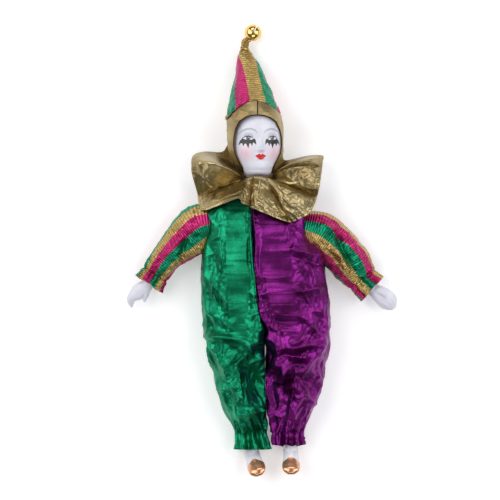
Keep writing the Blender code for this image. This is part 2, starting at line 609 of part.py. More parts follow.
def make_bell():
    """A hollow jingle bell: two crimped halves, a cross of slots with round ends, and a loop."""
    bell = globe("bell", BELL_RADIUS, 14, 8)
    rim = rod((0, 0, -BELL_RIM), (0, 0, BELL_RIM), BELL_RADIUS + BELL_RIM, 14, "rim")
    combine(bell, rim, "UNION")
    arch = np.linspace(0, math.pi, 6)[:, None, None]
    wire = np.linspace(0, 2 * math.pi, 6, endpoint=False)[None, :, None]
    radial = np.concatenate([np.cos(arch), 0 * arch, -np.sin(arch)], axis=2)
    root = np.array([0, 0, BELL_WALL - BELL_RADIUS])
    loop = root + radial * (BELL_LOOP + BELL_WIRE * np.cos(wire)) + BELL_WIRE * np.sin(wire) * (0, 1, 0)
    combine(bell, loft("loop", "brass", loop), "UNION")
    combine(bell, globe("hollow", BELL_RADIUS - BELL_WALL, 14, 8), "DIFFERENCE")
    reach = BELL_RADIUS * 0.93
    corners = np.array([(-1, -1), (1, -1), (1, 1), (-1, 1)]) * (reach, BELL_SLOT / 2)
    hole_z = BELL_SLOT_START + BELL_SLOT / 2
    for across in (np.array([1.0, 0, 0]), np.array([0, 1.0, 0])):
        aside = np.cross((0, 0, 1), across)
        outline = corners[:, :1] * across + corners[:, 1:] * aside
        levels = [outline + (0, 0, height) for height in (BELL_SLOT_START, 1.5 * BELL_RADIUS)]
        combine(bell, prism("slot", levels), "DIFFERENCE")
        for way in (across, -across):
            outward = way + (0, 0, 0.35)
            place = way * BELL_RADIUS * 0.9 + (0, 0, hole_z)
            hole = rod(place - 2 * outward, place + 4 * outward, BELL_HOLE_RADIUS, 8, "hole")
            combine(bell, hole, "DIFFERENCE")
    tilt = math.radians(BELL_TILT_DEG)
    height = BELL_RADIUS + BELL_RIM
    for vertex in bell.data.vertices:
        x, y, z = vertex.co
        along, up = z, y
        vertex.co.x = x * math.cos(tilt) - along * math.sin(tilt) + UNIT * BELL_MIDDLE[0] / 1000
        vertex.co.y = x * math.sin(tilt) + along * math.cos(tilt) + UNIT * BELL_MIDDLE[1] / 1000
        vertex.co.z = up + height / 1000
    made = bmesh.new()
    made.from_mesh(bell.data)
    bmesh.ops.recalc_face_normals(made, faces=made.faces)
    made.to_mesh(bell.data)
    made.free()
    return bell


def closed_curve(stations):
    """Angle stations repeated a turn either way, so that the curve closes smoothly."""
    inner = [s for s in stations if s[0] < 180]
    return [(a + turn, v) for turn in (-360, 0, 360) for a, v in inner]


def cover_height(trees, x, y, reach):
    """Highest point of the pieces below (x, y), looked for up to `reach` away, in millimetres."""
    best = 0.0
    for dx, dy in ((0, 0), (reach, 0), (-reach, 0), (0, reach), (0, -reach)):
        start = Vector(((x + dx) / 1000, (y + dy) / 1000, 0.2))
        for tree in trees:
            hit = tree.ray_cast(start, Vector((0, 0, -1)))[0]
            if hit is not None:
                best = max(best, hit.z * 1000)
    return best


def make_ruff(under):
    """The gathered gold collar: flutes that widen from the neck and lie over the shoulders."""
    graph = bpy.context.evaluated_depsgraph_get()
    trees = [BVHTree.FromObject(thing, graph) for thing in under]
    ridges = sorted(RUFF_RIDGES)
    ring = ridges + [ridges[0] + 360]
    parts = 5
    angle = np.concatenate([np.linspace(a, b, parts, endpoint=False) for a, b in zip(ring, ring[1:])])
    phase = np.tile(np.arange(parts) / parts, len(ridges))
    share = np.array([0.0, 0.2, 0.56, 1.0])
    radians = np.radians(angle)
    neck_reach = NECK_RADIUS + 2.5 * GAP + CLOTH
    neck = np.array(RUFF_NECK) * UNIT
    inner = np.stack([
        neck[0] + neck_reach * np.sin(radians),
        neck[1] - UNIT * RUFF_LEAN * np.cos(radians),
        neck[2] + neck_reach * np.cos(radians),
    ], axis=1)
    wrapped = (angle + 180) % 360 - 180
    edge = smooth(closed_curve(RUFF_EDGE), wrapped) * UNIT
    height = smooth(closed_curve(RUFF_HEIGHT), wrapped) * UNIT
    outer = np.stack([
        UNIT * RUFF_MIDDLE[0] + edge * np.sin(radians), UNIT * RUFF_MIDDLE[1] - edge * np.cos(radians), height
    ], axis=1)
    front = np.clip((RUFF_BACK_DEG - np.abs(wrapped)) / RUFF_TURN_DEG, 0, 1)
    flute = UNIT * RUFF_FLUTE * np.cos(2 * math.pi * phase)
    s = share[:, None, None]
    surface = inner * (1 - s) + outer * s
    held = (1 - share[:, None]) ** (3 - 2 * front[None])  # the back falls off close to the neck
    surface[..., 2] = inner[None, :, 2] * held + outer[None, :, 2] * (1 - held)
    surface[..., 2] += (flute * front)[None] * share[:, None] ** 0.8
    swell = RUFF_CROWN * UNIT * front * np.cos(radians / 2)
    surface[..., 2] += swell[None] * (4 * share * (1 - share))[:, None]
    floor_level = CLOTH / 2 + 0.05
    for row in range(1, len(share)):
        for column in range(len(angle)):
            x, y, z = surface[row, column]
            if front[column] > 0:
                need = cover_height(trees, x, y, 2.2 * UNIT) + GAP + 1.1 * CLOTH
                z = max(z, need)
            surface[row, column, 2] = max(z, floor_level)
    along = np.roll(surface, -1, axis=1) - np.roll(surface, 1, axis=1)
    out = np.gradient(surface, axis=0)
    normal = np.cross(along, out)
    normal /= np.linalg.norm(normal, axis=2, keepdims=True)
    upper, lower = surface + normal * CLOTH / 2, surface - normal * CLOTH / 2
    lower[..., 2], upper[..., 2] = np.maximum(lower[..., 2], 0), np.maximum(upper[..., 2], 0)
    rows, count = surface.shape[:2]
    points = np.concatenate([upper.reshape(-1, 3), lower.reshape(-1, 3)])
    base = rows * count
    faces = []
    for i in range(count):
        j = (i + 1) % count
        for r in range(rows - 1):
            a, b = r * count, (r + 1) * count
            faces.append((a + i, a + j, b + j, b + i))
            faces.append((base + a + j, base + a + i, base + b + i, base + b + j))
        last = (rows - 1) * count
        faces.append((j, i, base + i, base + j))
        faces.append((last + i, last + j, base + last + j, base + last + i))
    return object_from("ruff", "gold_lame", points, faces)


def make_hand(name, palm, thumb, sleeve):
    """A porcelain hand: palm and joined fingers, a thumb, and the wrist in its sleeve."""
    hand = loft(name, "porcelain", tube_rings(np.array(palm) * UNIT, 14, floor=False))
    combine(hand, loft("thumb", "porcelain", tube_rings(np.array(thumb) * UNIT, 10, floor=False)), "UNION")
    start, end = wrist_line(sleeve)
    return combine(hand, rod(start, end, WRIST_RADIUS, 14, "wrist"), "UNION")


def make_leg(name, foot):
    """A porcelain shank and its moulded shoe, toes up, in one casting."""
    top, ankle = leg_axis(foot)
    pitch = math.radians(SHOE_PITCH_DEG)
    turn = math.atan2(UNIT * (foot["toe_x"] - foot["leg_x"]), SHOE_LENGTH * 0.6)
    along = np.array([math.sin(turn) * math.cos(pitch), -math.cos(turn) * math.cos(pitch), math.sin(pitch)])
    up = np.array([0, 0, 1.0]) - along[2] * along
    up /= np.linalg.norm(up)
    across = np.cross(along, up)
    heel = np.array(ankle) - (along * HEEL_BACK + up * HEEL_DOWN) * SHOE_LENGTH
    instep = SHOE_FORM[1][2]
    angle = np.linspace(0, 2 * math.pi, 18, endpoint=False)[:, None]
    rings = []
    for share, wide, tall in SHOE_FORM:
        middle = heel + along * share * SHOE_LENGTH + up * (tall - instep) * 0.5 * SHOE_WIDTH
        high = np.maximum(np.sin(angle), SOLE_FLAT) * tall * SHOE_WIDTH
        rings.append(middle + np.cos(angle) * across * wide * SHOE_WIDTH + high * up)
    leg = loft(name, "porcelain", rings)
    shank = rod(top, np.array(ankle) - (0, ANKLE_RADIUS / 4, 0), ANKLE_RADIUS, 16, "shank")
    combine(leg, shank, "UNION")
    for vertex in leg.data.vertices:
        vertex.co.z = max(vertex.co.z, 0.0)
    return leg


def centre_on_floor():
    """Moves every piece so that the origin is under the middle of the doll's outline."""
    bpy.context.view_layer.update()
    things = [thing for thing in bpy.data.objects if thing.type == "MESH"]
    points = np.concatenate([np.array([v.co for v in thing.data.vertices]) for thing in things])
    low, high = points.min(0), points.max(0)
    shift = Vector((-(low[0] + high[0]) / 2, -(low[1] + high[1]) / 2, -low[2]))
    for thing in things:
        for vertex in thing.data.vertices:
            vertex.co += shift
    print("shift", [round(1000 * value, 3) for value in shift], "size", np.round(1000 * (high - low), 2))


def main():
    """Builds the doll, pieces from the suit outwards."""
    clear_scene()
    green = make_suit_half("suit_green", "green_lame", -1, LEFT_FOOT, GREEN_FOLDS)
    purple = make_suit_half("suit_purple", "purple_lame", 1, RIGHT_FOOT, PURPLE_FOLDS)
    left = make_sleeve("sleeve_left", LEFT_SLEEVE, -1, LEFT_SLEEVE_FOLDS)
    right = make_sleeve("sleeve_right", RIGHT_SLEEVE, 1, RIGHT_SLEEVE_FOLDS)
    make_head()
    make_hood()
    make_hat()
    make_bell()
    make_ruff([green, purple, left, right])
    make_hand("hand_left", LEFT_PALM, LEFT_THUMB, LEFT_SLEEVE)
    make_hand("hand_right", RIGHT_PALM, RIGHT_THUMB, RIGHT_SLEEVE)
    make_leg("leg_left", LEFT_FOOT)
    make_leg("leg_right", RIGHT_FOOT)
    centre_on_floor()


main()
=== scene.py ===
"""The looks of a porcelain clown doll: foil lamé clothes, a painted face, hands and shoes, and a bell.

Outlines are drawn in millimetres, with +X to the right as one looks at the face, +Y from the feet to
the hat and +Z up off the surface that the doll lies on. They are moved into the frame and turned into
metres when a mesh is made.
"""

import logging
import math
from dataclasses import dataclass, field
from enum import Enum
from typing import Any, Sequence

import bmesh
import bpy
import numpy as np
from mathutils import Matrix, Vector


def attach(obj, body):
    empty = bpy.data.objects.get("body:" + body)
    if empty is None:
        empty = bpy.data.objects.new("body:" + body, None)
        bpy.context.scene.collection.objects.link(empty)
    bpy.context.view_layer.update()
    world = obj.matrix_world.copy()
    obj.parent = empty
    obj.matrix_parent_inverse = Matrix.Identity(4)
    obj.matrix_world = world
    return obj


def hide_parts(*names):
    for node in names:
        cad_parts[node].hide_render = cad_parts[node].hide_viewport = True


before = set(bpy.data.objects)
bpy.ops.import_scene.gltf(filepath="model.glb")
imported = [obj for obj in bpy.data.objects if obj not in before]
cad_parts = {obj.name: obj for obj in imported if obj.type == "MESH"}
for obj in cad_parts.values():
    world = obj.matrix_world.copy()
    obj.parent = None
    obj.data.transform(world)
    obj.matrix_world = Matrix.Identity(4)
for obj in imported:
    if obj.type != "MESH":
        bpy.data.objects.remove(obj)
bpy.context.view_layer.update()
LOG = logging.getLogger("clown_doll")
MM = 0.001
UV_MM = 100  # mm of cloth to one unit of a UV map
DRAWN_TO_FRAME = (-0.024, 1.451, 0.0)  # mm, from the drawn outlines to the frame's origin
CELL_PRIMES = (73856093, 19349663, 83492791)  # spread the cells' numbers over all the bits
SEED_PRIME = 2654435761
MIXING_PRIME = 1274126177
Stations = Sequence[tuple[float, ...]]


class Side(Enum):
    """Which half of the doll, as one looks at it."""

    LEFT = -1
    RIGHT = 1


def hex_to_linear(code: str) -> tuple[float, float, float, float]:
    """Turns an sRGB hex colour into linear RGBA.

    Args:
        code: six hex digits, with or without a hash.

    Returns:
        The colour as four linear numbers.
    """
    parts = [int(code.lstrip("#")[i : i + 2], 16) / 255 for i in (0, 2, 4)]
    linear = [c / 12.92 if c <= 0.04045 else ((c + 0.055) / 1.055) ** 2.4 for c in parts]
    return (*linear, 1.0)


def smooth(stations: Sequence[tuple[float, float]], at: np.ndarray) -> np.ndarray:
    """Reads a smooth curve through stations: cubic pieces with the stations' mean slopes.

    Args:
        stations: (place, value) pairs.
        at: the places to read.

    Returns:
        The values there.
    """
    places, values = np.array(sorted(stations), float).T
    slopes = np.gradient(values, places)
    at = np.clip(at, places[0], places[-1])
    i = np.clip(np.searchsorted(places, at) - 1, 0, len(places) - 2)
    span = places[i + 1] - places[i]
    u = (at - places[i]) / span
    rise = u * u * (3 - 2 * u)
    bend = span * (slopes[i] * u * (1 - u) ** 2 - slopes[i + 1] * u * u * (1 - u))
    return values[i] * (1 - rise) + values[i + 1] * rise + bend


def step(low: float, high: float, value: np.ndarray) -> np.ndarray:
    """Rises smoothly from 0 at low to 1 at high."""
    u = np.clip((value - low) / (high - low), 0, 1)
    return u * u * (3 - 2 * u)


def lobe(angle: np.ndarray, power: Any) -> np.ndarray:
    """Cosine of an angle raised to 2 / power: a round section at 2, a boxy one above it."""
    c = np.cos(angle)
    return np.sign(c) * np.abs(c) ** (2 / power)


def noise(points: np.ndarray, seed: int) -> np.ndarray:
    """Smooth random relief: gradients at whole-number corners, blended by a quintic.

    Args:
        points: (..., 3) places in cells.
        seed: which relief.

    Returns:
        Values of about -1 to 1, shaped as the places.
    """
    base = np.floor(points).astype(np.int64)
    part = points - base
    ease = part * part * part * (part * (part * 6 - 15) + 10)
    total = np.zeros(points.shape[:-1])
    for corner in range(8):
        offset = np.array([(corner >> k) & 1 for k in range(3)])
        cell = (base + offset).astype(np.uint64)
        mixed = cell[..., 0] * np.uint64(CELL_PRIMES[0]) ^ cell[..., 1] * np.uint64(CELL_PRIMES[1])
        mixed = mixed ^ cell[..., 2] * np.uint64(CELL_PRIMES[2]) ^ np.uint64(seed * SEED_PRIME % 2**32)
        mixed = (mixed ^ (mixed >> np.uint64(13))) * np.uint64(MIXING_PRIME)
        mixed = mixed ^ (mixed >> np.uint64(16))
        turn = (mixed & np.uint64(0xFFFF)).astype(float) / 65536 * 2 * math.pi
        lift = ((mixed >> np.uint64(16)) & np.uint64(0xFFFF)).astype(float) / 32768 - 1
        flat = np.sqrt(1 - lift * lift)
        way = part - offset
        dot = way[..., 0] * flat * np.cos(turn) + way[..., 1] * flat * np.sin(turn)
        dot += way[..., 2] * lift
        weight = np.prod(np.where(offset == 1, ease, 1 - ease), axis=-1)
        total += dot * weight
    return total * 1.6


def creases(points: np.ndarray, seed: int, sharp: float = 1.0) -> np.ndarray:
    """Crumpled relief: 1 on sharp winding ridges and lower between them, from folded noise.

    Args:
        points: (..., 3) places in cells.
        seed: which relief.
        sharp: above 1 makes the ridges narrower.

    Returns:
        Values from 0 to 1.
    """
    bend = np.stack([noise(points * 0.7, seed + k) for k in (1, 2, 3)], axis=-1)
    return np.clip(1 - np.abs(noise(points + 0.45 * bend, seed)) * 1.7, 0, 1) ** sharp


def normals_of(grid: np.ndarray, wrap: bool) -> np.ndarray:
    """Unit normals of a grid: the cross product of its differences along columns and rows."""
    if wrap:
        around = np.roll(grid, -1, axis=1) - np.roll(grid, 1, axis=1)
    else:
        around = np.gradient(grid, axis=1)
    normal = np.cross(around, np.gradient(grid, axis=0))
    return normal / np.maximum(np.linalg.norm(normal, axis=-1, keepdims=True), 1e-9)


def outwards(grid: np.ndarray, middle: np.ndarray) -> np.ndarray:
    """Unit normals of closed rings, each ring's turned away from its middle."""
    out = normals_of(grid, True)
    return out * np.sign((out * (grid - middle)).sum((1, 2)))[:, None, None]


def running_total(steps: np.ndarray) -> np.ndarray:
    """0, and then the sum of the steps so far."""
    return np.concatenate([[0], np.cumsum(steps)])


def shrunk(ring: np.ndarray, share: float) -> np.ndarray:
    """A ring drawn in to a share of its size about its middle."""
    return ring.mean(0) + (ring - ring.mean(0)) * share


def drawn_in(ring: np.ndarray, wall: float) -> np.ndarray:
    """A ring drawn in by a wall's thickness towards its middle."""
    spread = ring - ring.mean(0)
    return ring.mean(0) + spread * (1 - wall / np.linalg.norm(spread, axis=1, keepdims=True))


def face_outwards(mesh: bpy.types.Mesh, merge: float | None = None) -> None:
    """Turns a closed mesh's faces outwards, after merging its doubles where a distance is given.

    Args:
        mesh: the mesh, changed in place.
        merge: how near two points are one, m.
    """
    turned = bmesh.new()
    turned.from_mesh(mesh)
    if merge is not None:
        bmesh.ops.remove_doubles(turned, verts=turned.verts, dist=merge)
    bmesh.ops.recalc_face_normals(turned, faces=turned.faces)
    turned.to_mesh(mesh)
    turned.free()


@dataclass
class Surface:
    """A grid of points in drawn millimetres, and what its material reads at each point."""

    grid: np.ndarray
    wrap: bool = True
    uv: np.ndarray | None = None  # (rows, columns + 1 if wrapped, 2)
    values: dict[str, np.ndarray] = field(default_factory=dict)
    cap_first: bool = False
    cap_last: bool = False

    def faces(self) -> np.ndarray:
        """Corner numbers of the grid's four-sided faces."""
        rows, count = self.grid.shape[:2]
        across = np.arange(count if self.wrap else count - 1)
        a = np.arange(rows - 1)[:, None] * count
        near, far = across[None], ((across + 1) % count)[None]
        return np.stack([a + near, a + far, a + count + far, a + count + near], axis=-1).reshape(-1, 4)

    def build(self, name: str, finish: bpy.types.Material, node: str) -> bpy.types.Object:
        """Makes the mesh, with its UV map and values, and places it in the frame.

        Args:
            name: the piece's name.
            finish: its material.
            node: the CAD node that it stands for.

        Returns:
            The new object.
        """
        rows, count = self.grid.shape[:2]
        points = self.grid.reshape(-1, 3)
        corners = [tuple(face) for face in self.faces()]
        total = rows * count
        extra = []
        if self.cap_first:
            extra.append(self.grid[0].mean(0))
            corners += [(total, (i + 1) % count, i) for i in range(count)]
        if self.cap_last:
            last, mark = total - count, total + len(extra)
            extra.append(self.grid[-1].mean(0))
            corners += [(mark, last + i, last + (i + 1) % count) for i in range(count)]
        if extra:
            points = np.concatenate([points, np.array(extra)])
        mesh = bpy.data.meshes.new(name)
        mesh.from_pydata(((points + DRAWN_TO_FRAME) * MM).tolist(), [], corners)
        mesh.update()
        if self.uv is not None:
            self._unwrap(mesh, rows, count)
        spare = len(points) - total
        for key, value in self.values.items():
            data = np.concatenate([value.reshape(-1), np.full(spare, float(value.flat[-1]))])
            layer = mesh.attributes.new(key, "FLOAT", "POINT")
            layer.data.foreach_set("value", data.astype(np.float32))
        face_outwards(mesh)
        mesh.shade_smooth()
        return adopt(bpy.data.objects.new(name, mesh), finish, node)

    def _unwrap(self, mesh: bpy.types.Mesh, rows: int, count: int) -> None:
        """Writes the UV map: the grid's own (u, v), with a last column where it closes."""
        layer = mesh.uv_layers.new(name="cloth")
        across = np.arange(count if self.wrap else count - 1)
        a = np.arange(rows - 1)[:, None]
        r = np.stack([a + 0 * across, a + 0 * across, a + 1 + 0 * across, a + 1 + 0 * across], axis=-1)
        c = np.stack([across, across + 1, across + 1, across], axis=-1)[None] + 0 * r
        assert self.uv is not None
        flat = self.uv[r.reshape(-1), c.reshape(-1)]
        data = np.zeros((len(mesh.loops), 2))
        data[: len(flat)] = flat
        layer.data.foreach_set("uv", data.reshape(-1).astype(np.float32))


def adopt(thing: bpy.types.Object, finish: bpy.types.Material, node: str) -> bpy.types.Object:
    """Links a piece, gives it its finish, and lets it stand for its CAD node on the one body.

    Args:
        thing: the new object.
        finish: its material.
        node: the CAD node.

    Returns:
        The same object.
    """
    bpy.context.scene.collection.objects.link(thing)
    thing.data.materials.clear()
    thing.data.materials.append(finish)
    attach(thing, "root")
    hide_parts(node)
    LOG.info("%s: %d faces, stands for %s", thing.name, len(thing.data.polygons), node)
    return thing


def add_node(
    tree: bpy.types.NodeTree,
    kind: str,
    values: dict | None = None,
    links: dict | None = None,
    **settings: Any,
) -> bpy.types.Node:
    """Adds one shader node.

    Args:
        tree: the material's node tree.
        kind: the node's type without its ShaderNode prefix.
        values: socket values by name or number.
        links: source sockets by input name or number.
        settings: properties of the node itself.

    Returns:
        The new node.
    """
    node = tree.nodes.new("ShaderNode" + kind)
    for key, value in settings.items():
        setattr(node, key, value)
    for socket, value in (values or {}).items():
        node.inputs[socket].default_value = value
    for socket, source in (links or {}).items():
        tree.links.new(source, node.inputs[socket])
    return node


def fresh_material(name: str) -> tuple[bpy.types.Material, bpy.types.NodeTree, bpy.types.Node]:
    """An empty node material with its Principled shader linked to the output."""
    made = bpy.data.materials.new(name)
    made.use_nodes = True
    tree = made.node_tree
    tree.nodes.clear()
    shader = add_node(tree, "BsdfPrincipled")
    add_node(tree, "OutputMaterial", links={"Surface": shader.outputs[0]})
    return made, tree, shader


@dataclass(frozen=True)
class FoilLame:
    """Lamé: polyester cloth with a metal foil face.

    The foil gives coloured mirror lights and near-black shadows; the thin cloth under it breaks
    them up with fine crinkles and threads.
    """

    name: str
    light: str
    deep: str
    roughness: float
    thread_mm: float = 1.1  # real threads are near 0.3 mm, drawn coarser so that they show
    crinkle_mm: float = 9.0
    patch_mm: float = 22.0
    relief_mm: float = 0.55
    stitch_mm: float = 2.6
    stitch_rows_mm: tuple[float, ...] = (2.4, 5.4)  # from the hem
    thread_half_mm: float = 0.42
    stitched_edge: bool = False

    def make(self) -> bpy.types.Material:
        """Builds the material.

        Returns:
            The finished material.
        """
        made, tree, shader = fresh_material(self.name)
        place = add_node(tree, "TexCoord").outputs["Object"]
        sizes = {"Scale": 1 / (self.crinkle_mm * MM), "Detail": 3.0, "Roughness": 0.5}
        crinkle = add_node(tree, "TexNoise", sizes, {"Vector": place}).outputs["Fac"]
        sizes = {"Scale": 1 / (self.thread_mm * MM), "Detail": 2.0, "Roughness": 0.7}
        grain = add_node(tree, "TexNoise", sizes, {"Vector": place}).outputs["Fac"]
        sizes = {"Scale": 1 / (self.patch_mm * MM), "Detail": 2.0}
        patch = add_node(tree, "TexNoise", sizes, {"Vector": place}).outputs["Fac"]
        cloth = add_node(tree, "UVMap", uv_map="cloth").outputs[0]
        mottled = add_node(tree, "Math", {1: 0.35}, {0: grain}, operation="MULTIPLY").outputs[0]
        mottled = add_node(tree, "Math", {}, {0: patch, 1: mottled}, operation="ADD").outputs[0]
        spread = add_node(tree, "MapRange", {1: 0.5, 2: 0.86, 3: 0.0, 4: 1.0}, {0: mottled}).outputs[0]
        pair = {6: hex_to_linear(self.light), 7: hex_to_linear(self.deep)}
        colour = add_node(tree, "Mix", pair, {0: spread}, data_type="RGBA").outputs[2]
        limits = {1: 0.3, 2: 0.7, 3: self.roughness * 0.85, 4: self.roughness * 1.2}
        worn = add_node(tree, "MapRange", limits, {0: grain}).outputs[0]
        relief = add_node(tree, "Math", {1: 0.16}, {0: grain}, operation="MULTIPLY").outputs[0]
        relief = add_node(tree, "Math", {}, {0: relief, 1: crinkle}, operation="ADD").outputs[0]
        if self.stitched_edge:
            colour, relief = self._overlock(tree, cloth, colour, relief)
        depth = {"Strength": 1.0, "Distance": self.relief_mm * MM}
        bump = add_node(tree, "Bump", depth, {"Height": relief}).outputs[0]
        tree.links.new(colour, shader.inputs["Base Color"])
        tree.links.new(worn, shader.inputs["Roughness"])
        tree.links.new(bump, shader.inputs["Normal"])
        shader.inputs["Metallic"].default_value = 1.0
        return made

    def _overlock(self, tree: bpy.types.NodeTree, cloth: Any, colour: Any, relief: Any) -> tuple[Any, Any]:
        """Rows of dark thread near an edge: dashes along u at set distances v from the hem.

        Args:
            tree: the material's node tree.
            cloth: the UV socket, u along the edge and v the distance from it.
            colour: the colour so far.
            relief: the height so far.

        Returns:
            The colour and the height with the thread added.
        """
        parts = add_node(tree, "SeparateXYZ", links={0: cloth})
        along, away = parts.outputs[0], parts.outputs[1]
        turns = 2 * math.pi * UV_MM / self.stitch_mm
        dash = add_node(tree, "Math", {1: turns}, {0: along}, operation="MULTIPLY").outputs[0]
        dash = add_node(tree, "Math", {}, {0: dash}, operation="SINE").outputs[0]
        dash = add_node(tree, "MapRange", {1: -0.1, 2: 0.35, 3: 0.0, 4: 1.0}, {0: dash}).outputs[0]
        rows = None
        half = self.thread_half_mm
        for at_mm in self.stitch_rows_mm:
            off = add_node(tree, "Math", {1: at_mm / UV_MM}, {0: away}, operation="SUBTRACT").outputs[0]
            off = add_node(tree, "Math", {}, {0: off}, operation="ABSOLUTE").outputs[0]
            limits = {1: half / UV_MM, 2: half / 180, 3: 0.0, 4: 1.0}
            row = add_node(tree, "MapRange", limits, {0: off}).outputs[0]
            if rows is not None:
                row = add_node(tree, "Math", {}, {0: rows, 1: row}, operation="MAXIMUM").outputs[0]
            rows = row
        thread = add_node(tree, "Math", {}, {0: rows, 1: dash}, operation="MULTIPLY").outputs[0]
        thread = add_node(tree, "Math", {1: 0.8}, {0: thread}, operation="MULTIPLY").outputs[0]
        dark = hex_to_linear("#2A2014")
        colour = add_node(tree, "Mix", {7: dark}, {0: thread, 6: colour}, data_type="RGBA").outputs[2]
        sunk = add_node(tree, "Math", {1: -1.2}, {0: thread}, operation="MULTIPLY").outputs[0]
        return colour, add_node(tree, "Math", {}, {0: relief, 1: sunk}, operation="ADD").outputs[0]


@dataclass(frozen=True)
class StripedLame:
    """Lurex rib: stripes of pink, green and gold foil thread, woven in fine raised ribs.

    The ribs run across the stripes and catch the light one by one, as fine bright lines; the grooves between them are
    darkened with painted shade.
    """

    name: str
    colours: tuple[str, ...]
    stripe_mm: float
    rib_mm: float = 1.9  # real ribs are near 1.2 mm, drawn coarser so that they show
    roughness: float = 0.3
    rib_depth_mm: float = 0.28
    crinkle_mm: float = 3.2
    crinkle_depth_mm: float = 0.4

    def make(self) -> bpy.types.Material:
        """Builds the material.

        Returns:
            The finished material.
        """
        made, tree, shader = fresh_material(self.name)
        place = add_node(tree, "TexCoord").outputs["Object"]
        cloth = add_node(tree, "UVMap", uv_map="cloth").outputs[0]
        parts = add_node(tree, "SeparateXYZ", links={0: cloth})
        period = self.stripe_mm * len(self.colours) / UV_MM
        across, along = parts.outputs[0], parts.outputs[1]
        share = add_node(tree, "Math", {1: 1 / period}, {0: across}, operation="MULTIPLY").outputs[0]
        share = add_node(tree, "Math", {}, {0: share}, operation="FRACT").outputs[0]
        ramp = add_node(tree, "ValToRGB", links={0: share})
        ramp.color_ramp.interpolation = "CONSTANT"
        ramp.color_ramp.elements[0].color = hex_to_linear(self.colours[0])
        ramp.color_ramp.elements[1].color = hex_to_linear(self.colours[1])
        ramp.color_ramp.elements[1].position = 1 / len(self.colours)
        for i, code in enumerate(self.colours[2:], start=2):
            ramp.color_ramp.elements.new(i / len(self.colours)).color = hex_to_linear(code)
        turns = 2 * math.pi * UV_MM / self.rib_mm
        rib = add_node(tree, "Math", {1: turns}, {0: along}, operation="MULTIPLY").outputs[0]
        rib = add_node(tree, "Math", {}, {0: rib}, operation="SINE").outputs[0]
        sizes = {"Scale": 1 / (self.crinkle_mm * MM), "Detail": 4.0, "Roughness": 0.6}
        fine = add_node(tree, "TexNoise", sizes, {"Vector": place}).outputs["Fac"]
        broken = add_node(tree, "MapRange", {1: 0.3, 2: 0.7, 3: 0.35, 4: 1.0}, {0: fine}).outputs[0]
        rib = add_node(tree, "Math", {}, {0: rib, 1: broken}, operation="MULTIPLY").outputs[0]
        # Painted shade: near-black #140A0C is mixed into the stripe colour in the grooves between the ribs, where the
        # rib wave is low.
        groove = add_node(tree, "MapRange", {1: -0.9, 2: 0.1, 3: 0.55, 4: 0.0}, {0: rib}).outputs[0]
        dark, stripe = {7: hex_to_linear("#140A0C")}, ramp.outputs[0]
        colour = add_node(tree, "Mix", dark, {0: groove, 6: stripe}, data_type="RGBA").outputs[2]
        depth = {"Strength": 1.0, "Distance": self.rib_depth_mm * MM}
        bump = add_node(tree, "Bump", depth, {"Height": rib}).outputs[0]
        depth = {"Strength": 0.8, "Distance": self.crinkle_depth_mm * MM}
        crinkle = add_node(tree, "Bump", depth, {"Height": fine, "Normal": bump})
        tree.links.new(colour, shader.inputs["Base Color"])
        tree.links.new(crinkle.outputs[0], shader.inputs["Normal"])
        shader.inputs["Metallic"].default_value = 0.88
        shader.inputs["Roughness"].default_value = self.roughness
        return made


@dataclass(frozen=True)
class GlazedPorcelain:
    """White bisque under a clear glaze: a soft white body with a thin glassy highlight."""

    name: str
    white: str = "#E4E3EC"
    shade: str = "#D6D5E2"
    cloud_mm: float = 14.0
    wave_mm: float = 6.0
    wave_depth_mm: float = 0.06

    def make(self, paints: Sequence[tuple[str, str, float, float]] = ()) -> bpy.types.Material:
        """Builds the material, with painted areas laid over the white in order.

        Args:
            paints: (attribute, colour, blur in mm, strength) for each painted area; the attribute
                holds the signed distance to the area's edge in mm, negative inside.

        Returns:
            The finished material.
        """
        made, tree, shader = fresh_material(self.name)
        place = add_node(tree, "TexCoord").outputs["Object"]
        sizes = {"Scale": 1 / (self.cloud_mm * MM), "Detail": 3.0}
        cloudy = add_node(tree, "TexNoise", sizes, {"Vector": place}).outputs["Fac"]
        limits = {1: 0.35, 2: 0.7, 3: 0.0, 4: 1.0}
        cloudy = add_node(tree, "MapRange", limits, {0: cloudy}).outputs[0]
        pair = {6: hex_to_linear(self.white), 7: hex_to_linear(self.shade)}
        colour = add_node(tree, "Mix", pair, {0: cloudy}, data_type="RGBA").outputs[2]
        for key, code, blur, strength in paints:
            distance = add_node(tree, "Attribute", attribute_name=key).outputs["Fac"]
            limits = {1: blur, 2: -blur, 3: 0.0, 4: strength}
            inside = add_node(tree, "MapRange", limits, {0: distance}).outputs[0]
            paint, under = {7: hex_to_linear(code)}, {0: inside, 6: colour}
            colour = add_node(tree, "Mix", paint, under, data_type="RGBA").outputs[2]
        sizes = {"Scale": 1 / (self.wave_mm * MM), "Detail": 2.0}
        uneven = add_node(tree, "TexNoise", sizes, {"Vector": place}).outputs["Fac"]
        depth = {"Strength": 0.5, "Distance": self.wave_depth_mm * MM}
        bump = add_node(tree, "Bump", depth, {"Height": uneven}).outputs[0]
        tree.links.new(colour, shader.inputs["Base Color"])
        tree.links.new(bump, shader.inputs["Coat Normal"])
        shader.inputs["Roughness"].default_value = 0.45
        shader.inputs["Coat Weight"].default_value = 0.3
        shader.inputs["Coat Roughness"].default_value = 0.12
        shader.inputs["Subsurface Weight"].default_value = 0.08
        shader.inputs["Subsurface Scale"].default_value = 1.5 * MM
        return made


